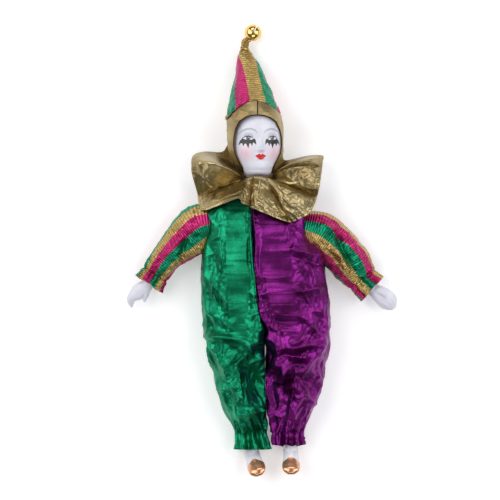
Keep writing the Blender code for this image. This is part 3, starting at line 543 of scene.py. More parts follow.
@dataclass(frozen=True)
class PlatedBrass:
    """Brass plate on a stamped steel bell: a near mirror with faint polishing marks."""

    name: str = "plated_brass"
    colour: str = "#E8C477"

    def make(self) -> bpy.types.Material:
        """Builds the material."""
        made, tree, shader = fresh_material(self.name)
        place = add_node(tree, "TexCoord").outputs["Object"]
        sizes = {"Scale": 1 / (1.6 * MM), "Detail": 3.0}
        marks = add_node(tree, "TexNoise", sizes, {"Vector": place}).outputs["Fac"]
        rough = add_node(tree, "MapRange", {1: 0.3, 2: 0.7, 3: 0.06, 4: 0.16}, {0: marks}).outputs[0]
        bump = add_node(tree, "Bump", {"Strength": 0.4, "Distance": 0.03 * MM}, {"Height": marks}).outputs[0]
        tree.links.new(rough, shader.inputs["Roughness"])
        tree.links.new(bump, shader.inputs["Normal"])
        shader.inputs["Base Color"].default_value = hex_to_linear(self.colour)
        shader.inputs["Metallic"].default_value = 1.0
        return made


# Outlines that the solids are drawn from, in mm
GREEN_EDGE = [
    (55, -17), (50, -28), (44, -40), (36, -49.5), (28, -52), (15, -51.5), (-1, -53.6), (-37, -54.4),
    (-73, -52.7), (-91, -50.2), (-109, -45), (-145, -34.2), (-159, -28.4), (-167, -22.8), (-181, -24.4),
]
PURPLE_EDGE = [
    (55, 12), (50, 21), (44, 31.5), (37, 40), (28, 43.5), (15, 45), (4, 50), (-3, 55), (-19, 57),
    (-37, 59.6), (-64, 61.2), (-91, 60), (-109, 56.6), (-138, 49.4), (-149, 45), (-159, 39.8),
    (-167, 37.2), (-178, 38),
]
SEAM_LINE = [
    (55, -9.5), (24, -9.5), (3, -8.1), (-28, -5.9), (-48, -4.1), (-64, -0.9), (-73, 2.3), (-91, 2.6),
    (-136, 3.6), (-150, 4.8), (-158, 7.2), (-167, 7.3), (-181, 8.5),
]
LEG_GAP = [(55, 0), (-140, 0), (-158, 0.8), (-167, 3.4), (-181, 2.6)]
SUIT_TOP = [
    (55, 34), (44, 36.5), (30, 39), (0, 43), (-40, 45), (-73, 42), (-91, 40), (-127, 36), (-150, 30.5),
    (-160, 24), (-167, 19.5), (-181, 22),
]
SEAM_SQUARENESS = [(55, 18), (-50, 16), (-73, 7), (-91, 2.8), (-181, 2.1)]
CUFF_GATHER = -167.0
NECKLINE = 54.0
SEAT_DEPTH = 3.0

Fold = tuple[float, float, float, float, float, float]


def fold_height(x: np.ndarray, y: np.ndarray, folds: Sequence[Fold]) -> np.ndarray:
    """Height of named folds: each falls off from a sharp crest along a straight run.

    Args:
        x: places across, mm.
        y: places along, mm.
        folds: (x0, y0, x1, y1, half width, height) for each, below 0 for a furrow.

    Returns:
        The heights, mm.
    """
    total = np.zeros(np.broadcast(x, y).shape)
    for x0, y0, x1, y1, width, height in folds:
        run = np.array([x1 - x0, y1 - y0])
        share = ((x - x0) * run[0] + (y - y0) * run[1]) / (run @ run)
        held = np.clip(share, 0, 1)
        away = np.hypot(x - x0 - held * run[0], y - y0 - held * run[1])
        taper = 0.35 + 0.65 * np.sin(math.pi * np.clip(held, 0.02, 0.98)) ** 0.6
        total += height * taper * np.exp(-((away / width) ** 1.35))
    return total


@dataclass
class SuitHalf:
    """One half of the harlequin suit: a leg and half of the body, stuffed, with a frilled cuff."""

    side: Side
    node: str
    edge: Stations
    hem: float
    folds: Sequence[Fold]
    finish: bpy.types.Material
    seed: int
    rows: int = 420
    around: int = 230

    def section(self, y: np.ndarray, angle: np.ndarray) -> np.ndarray:
        """Plain sections, before any wrinkle.

        x runs as a squared-off cosine from the seam to the outer edge, and z as a squared-off sine
        between the flattened back and the rounded front.

        Args:
            y: (rows, 1) places along the doll.
            angle: (1, around) turn round the section, 0 at the outer edge.

        Returns:
            (rows, around, 3) points.
        """
        s = self.side.value
        line = y[:, 0]
        outer = smooth(self.edge, line)
        between = np.maximum(smooth(LEG_GAP, line), 0) + 0.06
        inner = smooth(SEAM_LINE, line) + s * between / 2
        top = smooth(SUIT_TOP, line)[:, None]
        square = smooth(SEAM_SQUARENESS, line)[:, None]
        middle, half = ((outer + inner) / 2)[:, None], ((outer - inner) / 2)[:, None]
        inward = np.cos(angle) < 0
        x = middle + half * lobe(angle, np.where(inward, square, 2.3))
        waist = 0.42 * top
        rise = np.where(np.sin(angle) > 0, top - waist, waist + SEAT_DEPTH)
        z = waist + rise * lobe(angle - math.pi / 2, np.where(inward, np.clip(square, 2.4, 13), 2.4))
        return np.stack([x, np.broadcast_to(y, x.shape), z], axis=-1)

    def build(self) -> bpy.types.Object:
        """Builds the half: its section, pulled into pleats at the elastic, folded and crumpled.

        Returns:
            The suit half.
        """
        s = self.side.value
        body = np.linspace(NECKLINE, CUFF_GATHER + 12, self.rows - 90)
        cuff = np.linspace(CUFF_GATHER + 12, self.hem, 71)[1:]
        y = np.concatenate([body, cuff])[:, None]
        turn = np.linspace(0, 2 * math.pi, self.around, endpoint=False)[None]
        angle = turn - 0.25 * np.sin(2 * turn) * 0.6
        grid = self.section(y, angle)
        x, rows = grid[..., 0], grid[..., 1]
        out = outwards(grid, grid.mean(1, keepdims=True))
        front = np.clip(out[..., 2], 0, 1)
        below_ruff = step(40, 28, rows)
        drape = fold_height(x, rows, self.folds)
        crumple = self._crumple(grid, step(-30, -90, rows))
        cells = np.stack([0 * x + 2, rows / 30, np.cos(angle) + 0 * x], -1)
        pleats = 11 * angle + 1.4 * noise(cells, self.seed)
        pull = step(-136, -166, rows)
        wave = np.cos(pleats) * (0.3 + 2.0 * pull) * pull * (0.3 + 0.7 * front)
        frill = step(CUFF_GATHER - 1, self.hem, rows)
        wave += frill * 1.5 * np.cos(pleats + 0.9) * (0.25 + 0.75 * front)
        elastic = np.exp(-(((rows - CUFF_GATHER) / 1.6) ** 2))
        seam_off = np.abs(x - smooth(SEAM_LINE, rows[:, 0])[:, None])
        pucker = 0.5 * np.cos(2 * math.pi * rows / 5.2 + 2 * noise(grid / 9, 5)) * np.exp(-seam_off / 2.6)
        pucker *= step(-78, -70, rows)
        shaped = drape + crumple * (1 - 0.8 * elastic)
        grow = shaped * front * below_ruff + wave + pucker * front - 1.4 * elastic
        side_wrinkle = crumple * (1 - front) * 0.35 * below_ruff
        grid = grid + out * (grow + side_wrinkle)[..., None]
        limit = smooth(SEAM_LINE, grid[:, 0, 1])[:, None] + s * 0.03
        x = grid[..., 0]
        grid[..., 0] = np.where(rows > -150, s * np.maximum(s * x, s * limit), x)
        grid[..., 2] = np.maximum(grid[..., 2], 0.03)
        lining = self._lining(grid)
        rings = np.concatenate([grid, lining])
        run = np.linalg.norm(np.diff(rings, axis=0), axis=-1).mean(1)
        hoop = np.linalg.norm(rings - np.roll(rings, 1, axis=1), axis=-1).mean(0)
        u, v = running_total(hoop) / UV_MM, running_total(run) / UV_MM
        uv = np.stack(np.broadcast_arrays(u[None], v[:, None]), axis=-1)
        surface = Surface(rings, uv=uv, cap_first=True, cap_last=True)
        made = surface.build(self.node + "_cloth", self.finish, self.node)
        return made

    def _crumple(self, grid: np.ndarray, legs: np.ndarray) -> np.ndarray:
        """Crumpled foil: long upright folds on the body, slanting ones on the legs, and finer ones.

        Args:
            grid: the plain sections.
            legs: 0 on the body to 1 on the leg.

        Returns:
            The height at each point, mm.
        """
        x, y, z = grid[..., 0], grid[..., 1], grid[..., 2]
        cells = np.stack([x / 13, y / 52, z / 20], axis=-1)
        upright = creases(cells + 3.1, self.seed) - 0.55
        cells = np.stack([(x + 0.5 * y) / 27, (y - 0.4 * x) / 24, z / 26], axis=-1)
        slant = creases(cells + 5.3, self.seed + 3) - 0.55
        cells = np.stack([x / 9, y / 14, z / 11], axis=-1)
        total = 4.4 * upright * (1 - legs) + 6.0 * slant * legs
        total += (1.0 + 0.9 * legs) * (creases(cells + 7.7, self.seed + 9) - 0.5)
        return total + 0.32 * (creases(grid / 4.6, self.seed + 15) - 0.5)

    @staticmethod
    def _lining(grid: np.ndarray) -> np.ndarray:
        """The cuff's inside: the hem turned in by a cloth's thickness and run back to the elastic."""
        hem, gather = grid[-1], grid[-58]
        steps = ((0.0, 1.0), (0.35, 1.5), (0.8, 2.0))
        return np.array([drawn_in(hem * (1 - share) + gather * share, wall) for share, wall in steps])


LEFT_SLEEVE = [
    (-36, 22, 20, 14, 12), (-54.6, 19.4, 19, 21.2, 16.2), (-69.5, 7.6, 16.5, 19, 14.5), (-79, -1, 15, 15.6, 13),
    (-86.5, -8.5, 13.5, 13.4, 11.5), (-92.5, -17, 12, 12.6, 10.5), (-96.3, -23, 11, 11.4, 9),
    (-98.6, -26.5, 11, 12.2, 9.6), (-102.4, -32.2, 11.5, 13.6, 10.4),
]
RIGHT_SLEEVE = [
    (32, 19, 20, 14, 12), (50.6, 13.6, 19, 20, 16.2), (66.4, 1.8, 17, 19.2, 15), (75, -7.6, 15.5, 19, 14),
    (81.2, -15.4, 14, 18.6, 12.5), (86.4, -22.8, 12, 16, 10.8), (90, -28, 11, 13, 9),
    (93.6, -31.6, 11, 13, 9.6), (99.6, -37, 11.5, 13.9, 10.4),
]


@dataclass
class Tube:
    """A bent tube of oval sections along stations of x, y, z, half width and half height."""

    stations: np.ndarray

    @classmethod
    def through(cls, stations: Stations, rows: int) -> "Tube":
        """A tube whose stations are read smoothly at many rows."""
        columns = np.array(stations, float).T
        places = np.linspace(0, len(stations) - 1, rows)
        return cls(np.stack([smooth(list(enumerate(column)), places) for column in columns], axis=1))

    def rings(self, angle: np.ndarray, swell: np.ndarray | float = 1.0) -> np.ndarray:
        """Sections: cos(angle) half widths across the line and sin(angle) half heights above it.

        Args:
            angle: (around,) turns, 0 on the line's left as it runs.
            swell: a factor on every radius.

        Returns:
            (rows, around, 3) points.
        """
        line = self.stations
        along = np.gradient(line[:, :3], axis=0)
        along /= np.linalg.norm(along, axis=1)[:, None]
        across = np.stack([-along[:, 1], along[:, 0], np.zeros(len(line))], axis=1)
        across /= np.linalg.norm(across, axis=1)[:, None]
        up = np.cross(along, across)
        up *= np.sign(up[:, 2:3])
        wide = (line[:, 3:4] * swell) * np.cos(angle)
        high = (line[:, 4:5] * swell) * np.sin(angle)
        return line[:, None, :3] + wide[..., None] * across[:, None] + high[..., None] * up[:, None]


@dataclass
class Sleeve:
    """A stuffed sleeve of striped rib, gathered at the wrist into a frill."""

    node: str
    stations: Stations
    folds: Sequence[Fold]
    finish: bpy.types.Material
    seed: int
    stripe_shift: float
    mirror: int
    rows: int = 260
    around: int = 200
    widest: float = 19.5

    def build(self) -> bpy.types.Object:
        """Builds the sleeve: oval sections, pleated at the elastic, folded and crumpled.

        Returns:
            The sleeve.
        """
        tube = Tube.through(self.stations, self.rows)
        share = np.linspace(0, len(self.stations) - 1, self.rows)[:, None]
        angle = np.linspace(0, 2 * math.pi, self.around, endpoint=False)[None]
        pull = step(4.2, 5.9, share)
        frill = step(6.1, 8.0, share)
        grid = tube.rings(angle[0])
        middle = tube.stations[:, None, :3]
        out = outwards(grid, middle)
        front = np.clip(out[..., 2], 0, 1)
        drape = fold_height(grid[..., 0], grid[..., 1], self.folds)
        crumple = 1.7 * (creases(grid / 10 + 1.3, self.seed) - 0.5)
        crumple += 0.7 * (creases(grid / 5 + 5.1, self.seed + 4) - 0.5)
        cells = np.stack([0 * grid[..., 0], grid[..., 1] / 20, np.cos(angle) + 0 * share], -1)
        pleats = 9 * angle + 1.3 * noise(cells, self.seed)
        wave = np.cos(pleats) * (1.5 * pull * (1 - frill) + 1.5 * frill)
        elastic = np.exp(-(((share - 6) / 0.3) ** 2))
        inset = step(0.4, 1.3, share)
        shaped = drape * front + crumple * (0.4 + 0.6 * front)
        grow = shaped * (1 - 0.7 * elastic) * inset + wave - 0.8 * elastic
        grid = grid + out * grow[..., None]
        grid[..., 2] = np.maximum(grid[..., 2], 0.03)
        lining = [drawn_in(grid[-back], wall) for back, wall in ((1, 0.9), (22, 1.4), (48, 1.9))]
        rings = np.concatenate([grid, np.array(lining)])
        run = np.linalg.norm(np.diff(tube.stations[:, :3], axis=0), axis=-1)
        v = running_total(run)
        v = np.concatenate([v, v[-1] - np.array([0.5, 3.0, 6.0])]) / UV_MM
        turn = np.append(angle[0], 2 * math.pi)
        u = (self.mirror * (turn - math.pi / 2) * self.widest + self.stripe_shift) / UV_MM
        uv = np.stack(np.broadcast_arrays(u[None], v[:, None]), axis=-1)
        surface = Surface(rings, uv=uv, cap_first=True, cap_last=True)
        made = surface.build(self.node + "_cloth", self.finish, self.node)
        return made


HEAD_STATIONS = [
    (62, 7, 32, 16), (64.6, 9.4, 38, 13.4), (66.2, 11.2, 44.5, 12.5), (70.5, 15.6, 48.4, 11),
    (78, 19.6, 50.4, 9), (86, 21.9, 51.2, 8), (97, 22.6, 50.6, 7.4), (108, 21.6, 51.2, 8), (116, 18.8, 49.6, 10),
    (122, 14.2, 45.8, 14), (126, 8, 39, 21),
]
HEAD_MIDDLE = (-4.6, 96.0, 29.0)
HEAD_TURN = math.radians(9.0)
NECK_MIDDLE = (-3.6, 24.0)
NECK_RADIUS = 10.5
NECK_LEVELS = (43.4, 50.0, 61.9)
CROWN_Y = 127.6


def polygon_distance(x: np.ndarray, y: np.ndarray, corners: Sequence[tuple[float, float]]) -> np.ndarray:
    """Signed distance to a polygon: the nearest edge's distance, negative inside (even-odd rule).

    Args:
        x: places across.
        y: places up.
        corners: the polygon's corners in order.

    Returns:
        Distances in the same unit.
    """
    best = np.full(x.shape, np.inf)
    inside = np.zeros(x.shape, bool)
    ring = list(corners)
    for (x0, y0), (x1, y1) in zip(ring, ring[1:] + ring[:1]):
        dx, dy = x1 - x0, y1 - y0
        share = np.clip(((x - x0) * dx + (y - y0) * dy) / max(dx * dx + dy * dy, 1e-12), 0, 1)
        best = np.minimum(best, np.hypot(x - x0 - share * dx, y - y0 - share * dy))
        crosses = (y0 > y) != (y1 > y)
        if y0 != y1:
            inside ^= crosses & (x < (x1 - x0) * (y - y0) / (y1 - y0) + x0)
    return np.where(inside, -best, best)


def brush_distance(x: np.ndarray, y: np.ndarray, stroke: Stations) -> np.ndarray:
    """Signed distance to a brush stroke: nearest run's distance less the stroke's half width there.

    Args:
        x: places across.
        y: places up.
        stroke: (x, y, half width) along the stroke.

    Returns:
        Distances in the same unit.
    """
    best = np.full(x.shape, np.inf)
    for (x0, y0, w0), (x1, y1, w1) in zip(stroke, stroke[1:]):
        dx, dy = x1 - x0, y1 - y0
        share = np.clip(((x - x0) * dx + (y - y0) * dy) / (dx * dx + dy * dy), 0, 1)
        away = np.hypot(x - x0 - share * dx, y - y0 - share * dy) - (w0 + share * (w1 - w0))
        best = np.minimum(best, away)
    return best

# The painted face, in mm from the eye's or the mouth's middle
EYE_OUTLINE = [
    (-4.2, -0.9), (-2.2, 1.0), (0.4, 1.7), (3.0, 1.1), (4.8, -0.5), (2.2, -1.5), (-1.6, -1.7),
]
UPPER_LID = [(-4.6, -1.1, 0.12), (-2.2, 1.1, 0.34), (0.4, 1.9, 0.42), (3.2, 1.3, 0.4), (5.6, -0.6, 0.14)]
UPPER_LASHES = [
    ((-3, 0.8), (-4.6, 2.6)), ((-1.6, 1.5), (-2.6, 3.7)), ((0, 1.9), (-0.3, 4.3)),
    ((1.6, 1.8), (2.2, 4.2)), ((3.1, 1.3), (4.6, 3.3)), ((4.3, 0.5), (6.4, 1.9)),
]
LOWER_LASHES = [
    (-5.2, -0.4), (-3.2, -1.3), (-0.6, -1.6), (2.4, -1.3), (5.0, -0.2), (6.8, -2.0), (8.4, -6.6),
    (6.4, -4.6), (5.4, -4.4), (4.3, -7.4), (3.2, -4.9), (2.0, -5.0), (0.3, -9.2), (-0.8, -5.0),
    (-1.9, -4.7), (-2.9, -7.4), (-3.8, -4.4), (-4.6, -4.0), (-6.6, -6.2), (-6.2, -2.2),
]
BROW = [
    (-7.6, 4.6, 0.1), (-5.6, 6.9, 0.5), (-2.2, 8.2, 0.8), (2.0, 8.0, 0.8), (5.8, 6.2, 0.5), (8.6, 3.2, 0.1),
]
LIPS = [
    (-5.0, 0.5), (-3.4, 1.5), (-1.6, 2.5), (-0.5, 2.1), (0, 1.6), (0.5, 2.1), (1.6, 2.5), (3.4, 1.5),
    (5.0, 0.5), (3.2, -1.2), (1.6, -2.5), (0, -2.9), (-1.6, -2.5), (-3.2, -1.2),
]
MOUTH_LINE = [(-4.4, 0.5, 0.08), (-1.6, 0.2, 0.2), (0, 0.0, 0.24), (1.6, 0.2, 0.2), (4.4, 0.5, 0.08)]
@dataclass
class Head:
    """The porcelain head: an egg with a small nose and mouth, and a painted clown's face."""

    rows: int = 300
    around: int = 320
    eye_x: float = 10.6
    eye_y: float = 98.3
    lips_y: float = 81.9

    def build(self) -> bpy.types.Object:
        """Builds the head and its neck as one casting.

        Returns:
            The head.
        """
        stations = np.array(HEAD_STATIONS, float)
        y = smooth(list(enumerate(stations[:, 0])), np.linspace(0, len(stations) - 1, self.rows))
        half, front, back = (smooth(list(zip(stations[:, 0], stations[:, i])), y) for i in (1, 2, 3))
        spin = np.linspace(0, 2 * math.pi, self.around, endpoint=False)
        angle = (spin - 0.55 * np.sin(spin))[None]
        middle, depth = (front + back) / 2, (front - back) / 2
        across = half[:, None] * np.sin(angle)
        up = y[:, None] + 0 * across
        z = middle[:, None] + depth[:, None] * np.cos(angle)
        z = z + self._relief(across, up) * np.clip(np.cos(angle), 0, 1)
        grid = np.stack([across + HEAD_MIDDLE[0], up, z], axis=-1)
        crown = shrunk(grid[-1], 0.4)
        crown[:, 1] = CROWN_Y
        pivot = np.array([HEAD_MIDDLE[0], 0, HEAD_MIDDLE[2]])
        off = np.concatenate([grid, crown[None]]) - pivot
        x = off[..., 0] * math.cos(HEAD_TURN) + off[..., 2] * math.sin(HEAD_TURN)
        z = -off[..., 0] * math.sin(HEAD_TURN) + off[..., 2] * math.cos(HEAD_TURN)
        head = np.stack([x, off[..., 1], z], axis=-1) + pivot
        level_ring = np.stack([np.sin(angle[0]), 0 * angle[0], np.cos(angle[0])], -1) * NECK_RADIUS
        neck = np.array([level_ring + (NECK_MIDDLE[0], level, NECK_MIDDLE[1]) for level in NECK_LEVELS])
        rings = np.concatenate([neck, head])
        under = np.zeros((len(NECK_LEVELS), self.around))
        facing = np.concatenate([under, (np.cos(angle) > 0) + 0 * across, under[:1]])
        wide = np.concatenate([under, across, across[-1:]])
        tall = np.concatenate([under + 50.0, up, up[-1:]])
        painted = self._paint(wide, tall).items()
        values = {key: np.where(facing > 0, value, 9.0) for key, value in painted}
        finish = GlazedPorcelain("glazed_porcelain_face").make([
            ("blush", "#E79AA6", 4.6, 0.55), ("lid", "#9FA0AC", 0.5, 0.35), ("brow", "#77767F", 0.6, 0.62),
            ("eye_white", "#EDEDF4", 0.08, 1.0), ("iris", "#6C6E78", 0.1, 1.0), ("glint", "#F4F4FA", 0.08, 1.0),
            ("lash", "#0B090B", 0.1, 1.0), ("lips", "#D8120F", 0.16, 1.0), ("mouth_line", "#7E0A0C", 0.14, 0.8),
        ])
        surface = Surface(rings, values=values, cap_first=True, cap_last=True)
        return surface.build("head_porcelain", finish, "head")

    def _relief(self, x: np.ndarray, y: np.ndarray) -> np.ndarray:
        """Relief of the face: a sum of soft mounds and hollows at the features."""
        total = np.zeros(x.shape)
        mounds = (
            (0, 88.3, 2.3, 2.2, 2.9), (0, 94, 1.7, 5.0, 1.5), (1.9, 87.6, 1.2, 1.3, 0.7), (-1.9, 87.6, 1.2, 1.3, 0.7),
            (0, 83.2, 3.6, 1.0, 0.7), (0, 80.6, 2.8, 1.1, 0.8), (0, 71.5, 5, 3.5, 0.8), (0, 78.0, 4, 1.3, -0.35),
            (self.eye_x, 97.0, 5.2, 3.4, -1.1), (-self.eye_x, 97.0, 5.2, 3.4, -1.1),
            (self.eye_x, 98.0, 3.4, 2.2, 0.8), (-self.eye_x, 98.0, 3.4, 2.2, 0.8),
            (self.eye_x, 105, 6, 2.4, 0.5), (-self.eye_x, 105, 6, 2.4, 0.5), (12, 86, 6, 5, 0.5), (-12, 86, 6, 5, 0.5),
        )
        for at_x, at_y, wide, tall, height in mounds:
            total += height * np.exp(-(((x - at_x) / wide) ** 2) - ((y - at_y) / tall) ** 2)
        return total

    def _paint(self, x: np.ndarray, y: np.ndarray) -> dict[str, np.ndarray]:
        """Signed distances, in mm, to each painted area of the face.

        Args:
            x: places across the face, from its middle.
            y: places up.

        Returns:
            One array for each area.
        """
        out: dict[str, np.ndarray] = {}

        def lay(key: str, distance: np.ndarray) -> None:
            """Adds one area to those of its colour."""
            out[key] = np.minimum(out[key], distance) if key in out else distance

        for s in (-1, 1):
            p, q = s * x - self.eye_x, y - self.eye_y
            lay("blush", np.hypot(p - 2.2, (q + 13.0) * 0.85) - 4.6)
            lay("lid", np.hypot(p * 0.62, q - 2.2) - 2.4)
            almond = polygon_distance(p, q, EYE_OUTLINE)
            lay("eye_white", almond)
            lay("iris", np.maximum(np.hypot(p - 0.2, q - 0.1) - 1.75, almond))
            lay("glint", np.hypot(p + 0.3, q - 0.6) - 0.42)
            lay("lash", np.abs(np.hypot(p - 0.2, q - 0.1) - 1.75) - 0.14 + np.maximum(almond, 0))
            lay("lash", np.hypot(p - 0.3, q - 0.05) - 0.62)
            lay("lash", brush_distance(p, q, UPPER_LID))
            for root, tip in UPPER_LASHES:
                lay("lash", brush_distance(p, q, [(*root, 0.2), (*tip, 0.02)]))
            lay("lash", polygon_distance(p, q, LOWER_LASHES))
            lay("brow", brush_distance(p, q, BROW))
        q = y - self.lips_y
        lay("lips", polygon_distance(x, q, LIPS))
        lay("mouth_line", brush_distance(x, q, MOUTH_LINE))
        return out


COWL_STATIONS = [
    (67, -4, 14.6, 46, 11), (72, -4.4, 18.4, 50, 8.8), (78, -4.8, 21.8, 52, 7), (85, -5.4, 24.2, 52.6, 5.6),
    (94, -6, 25.2, 52.8, 4.8), (103, -6.3, 25.4, 52.6, 4.6), (110, -6.3, 25.3, 53, 4.8),
    (116, -7, 25.1, 53, 5), (122, -7.6, 23.8, 52, 5), (132, -8.6, 20.7, 47, 4.6), (142.6, -9.5, 17.6, 41, 4),
    (153.4, -10.8, 14, 34, 3.4), (164, -12.2, 10.7, 26.5, 2.6), (171, -13.6, 8.4, 20.6, 2),
    (175.4, -15, 6, 15.6, 2.4), (178.6, -15.4, 4, 11.8, 4.2),
]
HAT_TIP = [
    (-15.4, 178.6, 8, 3.9, 3.9), (-15.6, 182.4, 8, 3.1, 3.1), (-15.1, 185.6, 8, 2.9, 2.9),
    (-13.6, 187.8, 8, 2.7, 2.7), (-12.3, 188.3, 8, 2.5, 2.5),
]
HAT_STRIPE_SHIFT = 0.1207  # puts a gold stripe up the front
HAT_TAIL_U = 3.3  # mm, the middle of that stripe
HAT_END = 178.6  # where the cone turns into the hook
HOOK_ROWS = 50
FACE_OPENING = [
    (118.8, 0), (118.4, 6), (116.8, 11), (113, 16.6), (106, 20), (99, 21.4), (92, 21.6), (85, 20.6),
    (78.7, 17.6), (72, 14), (64, 12.4), (56, 12.4),
]
OPENING_X = HEAD_MIDDLE[0] + 0.6
HOOD_FOOT = 67.2
CHEEK = 104.0  # above this the hood's rows close up towards the brow
BROW_EDGE = 118.8  # top of the face opening
ARCH_TOP = 132.0
ARCH_LIMIT = 131.9
OVER_ROWS = 50  # rows above the opening


def cowl_point(y: np.ndarray, angle: np.ndarray) -> np.ndarray:
    """The hood's and hat's outer form: an oval section at each y, turned from its front.

    Args:
        y: places along the doll.
        angle: turns round the section, 0 at the front.

    Returns:
        Points, shaped as the two together.
    """
    y, angle = np.broadcast_arrays(y, angle)
    flat = y.reshape(-1)
    read = [
        smooth([(s[0], s[i]) for s in COWL_STATIONS], flat).reshape(y.shape) for i in (1, 2, 3, 4)
    ]
    middle, half, front, back = read
    waist = (front + back) / 2
    return np.stack([middle + half * np.sin(angle), y, waist + (front - back) / 2 * np.cos(angle)], axis=-1)


def band_arch(x: np.ndarray) -> np.ndarray:
    """Y of the arched seam between hood and cone: a parabola over the brow."""
    return ARCH_TOP - 14.5 * ((x + 6.0) / 24.5) ** 2


def opening_angle(y: np.ndarray) -> tuple[np.ndarray, np.ndarray]:
    """Turns at which the hood's edge stands on either side of the face, at each y."""
    half = np.interp(-y, [-p for p, _ in FACE_OPENING], [w for _, w in FACE_OPENING], left=0.0)
    middle = smooth([(s[0], s[1]) for s in COWL_STATIONS], y)
    wide = smooth([(s[0], s[2]) for s in COWL_STATIONS], y)
    right = np.arcsin(np.clip((OPENING_X + half - middle) / wide, -0.97, 0.97))
    left = np.arcsin(np.clip((OPENING_X - half - middle) / wide, -0.97, 0.97))
    return left, right


@dataclass
class Hood:
    """The gold hood: a sheet from one side of the face round the back to the other."""

    finish: bpy.types.Material
    cloth: float = 1.0
    binding_radius: float = 0.55
    rows: int = 190
    around: int = 200

    def build(self) -> list[bpy.types.Object]:
        """Builds the hood and the binding round its opening, a rolled edge whose dark colour is painted shade.

        Returns:
            The two pieces.
        """
        low = np.linspace(HOOD_FOOT, CHEEK, 70)
        brow = BROW_EDGE - 14.8 * np.linspace(1, 0, 70)[1:] ** 1.8
        over = np.linspace(BROW_EDGE, ARCH_TOP, OVER_ROWS + 1)[1:]
        flat = np.concatenate([low, brow, over])
        left, right = opening_angle(flat)
        above = np.linspace(0, 1, OVER_ROWS + 1)[1:, None]
        share = np.linspace(0, 1, self.around)[None]
        angle = right[:, None] + (left[:, None] + 2 * math.pi - right[:, None]) * share
        grid = cowl_point(flat[:, None], angle)
        start = cowl_point(np.full((1, self.around), BROW_EDGE), angle[-OVER_ROWS - 1 : -OVER_ROWS])
        arch = np.minimum(band_arch(start[..., 0]), ARCH_LIMIT) - 0.2
        lifted = BROW_EDGE + above * (arch - BROW_EDGE)
        grid[-OVER_ROWS:] = cowl_point(lifted, angle[-OVER_ROWS:])
        sides = grid[:-OVER_ROWS]
        down = np.minimum(1, np.maximum(0, (sides[..., 1] - CHEEK) / 14.8))
        base = np.minimum(band_arch(sides[..., 0]), ARCH_LIMIT) - 0.2
        sides[..., 1] = np.where(sides[..., 1] > base, base - 0.02 * down, sides[..., 1])
        out = normals_of(grid, False)
        out *= np.sign((out * (grid - (-6, 100, 28))).sum(-1).mean())
        soft = 0.7 * (creases(grid * (1 / 13, 1 / 22, 1 / 13), 31) - 0.5)
        soft += 0.3 * (creases(grid / 6, 37) - 0.5)
        hem = step(0.0, 0.06, share) * step(1.0, 0.94, share)
        grid = grid + out * (soft * hem - 0.15)[..., None]
        grid[..., 2] = np.maximum(grid[..., 2], 0.4)
        rim = np.concatenate([grid[:, 0], grid[::-1, -1]])
        return [self._doubled(grid, out, "hood_cloth"), self._binding(rim)]

    def _doubled(self, grid: np.ndarray, out: np.ndarray, name: str) -> bpy.types.Object:
        """Makes a closed double layer of a sheet: out one side, round the edge and back inside."""
        rows, count = grid.shape[:2]
        inner = grid - out * self.cloth
        inner[..., 2] = np.maximum(inner[..., 2], 0.3)
        loop = np.concatenate([grid, inner[:, ::-1]], axis=1)
        v = running_total(np.linalg.norm(np.diff(grid, axis=0), axis=-1).mean(1)) / UV_MM
        hoop = np.linalg.norm(np.diff(grid, axis=1), axis=-1).mean(0)
        u = running_total(hoop) / UV_MM
        both = np.concatenate([u, u[::-1], u[:1]])
        uv = np.stack(np.broadcast_arrays(both[None], v[:, None]), axis=-1)
        made = Surface(loop, uv=uv).build(name, self.finish, "hood")
        self._close_ends(made, rows, count)
        LOG.info("hood %.0f mm round and %.0f mm high", hoop.sum(), 100 * v[-1])
        return made

    @staticmethod
    def _close_ends(made: bpy.types.Object, rows: int, count: int) -> None:
        """Joins outer and inner layer along the first and the last row."""
        shut = bmesh.new()
        shut.from_mesh(made.data)
        shut.verts.ensure_lookup_table()
        for row in (0, rows - 1):
            a = row * 2 * count
            for i in range(count - 1):
                pick = (a + i, a + i + 1, a + 2 * count - 2 - i, a + 2 * count - 1 - i)
                corners = [shut.verts[k] for k in pick]
                if len({v.co.to_tuple(7) for v in corners}) == 4:
                    shut.faces.new(corners)
        bmesh.ops.recalc_face_normals(shut, faces=shut.faces)
        shut.to_mesh(made.data)
        shut.free()
        made.data.shade_smooth()
        made.data.set_sharp_from_angle(angle=math.radians(50))

    def _binding(self, rim: np.ndarray) -> bpy.types.Object:
        """A thin rolled edge along the opening: a round cord carried along the rim, in a darkened copy of the gold
        lamé that is painted shade.
        """
        keep = np.concatenate([[True], np.linalg.norm(np.diff(rim, axis=0), axis=1) > 0.05])
        path = rim[keep]
        along = np.gradient(path, axis=0)
        along /= np.linalg.norm(along, axis=1, keepdims=True)
        side = np.cross(along, (0, 0, 1.0))
        side /= np.maximum(np.linalg.norm(side, axis=1, keepdims=True), 1e-6)
        up = np.cross(side, along)
        turn = np.linspace(0, 2 * math.pi, 10, endpoint=False)
        round_path = np.cos(turn)[None, :, None] * side[:, None] + np.sin(turn)[None, :, None] * up[:, None]
        v = running_total(np.linalg.norm(np.diff(path, axis=0), axis=1)) / UV_MM
        uv = np.stack(np.broadcast_arrays(np.linspace(0, 0.03, 11)[None], v[:, None]), axis=-1)
        # Painted shade: the cord's gold lamé is darkened to brown-black along the face opening.
        dark = FoilLame("gold_lame_edge_painted_shade", "#4A3820", "#2A1E10", 0.4).make()
        rings = path[:, None] + self.binding_radius * round_path
        return Surface(rings, uv=uv, cap_first=True, cap_last=True).build("hood_binding", dark, "hood")


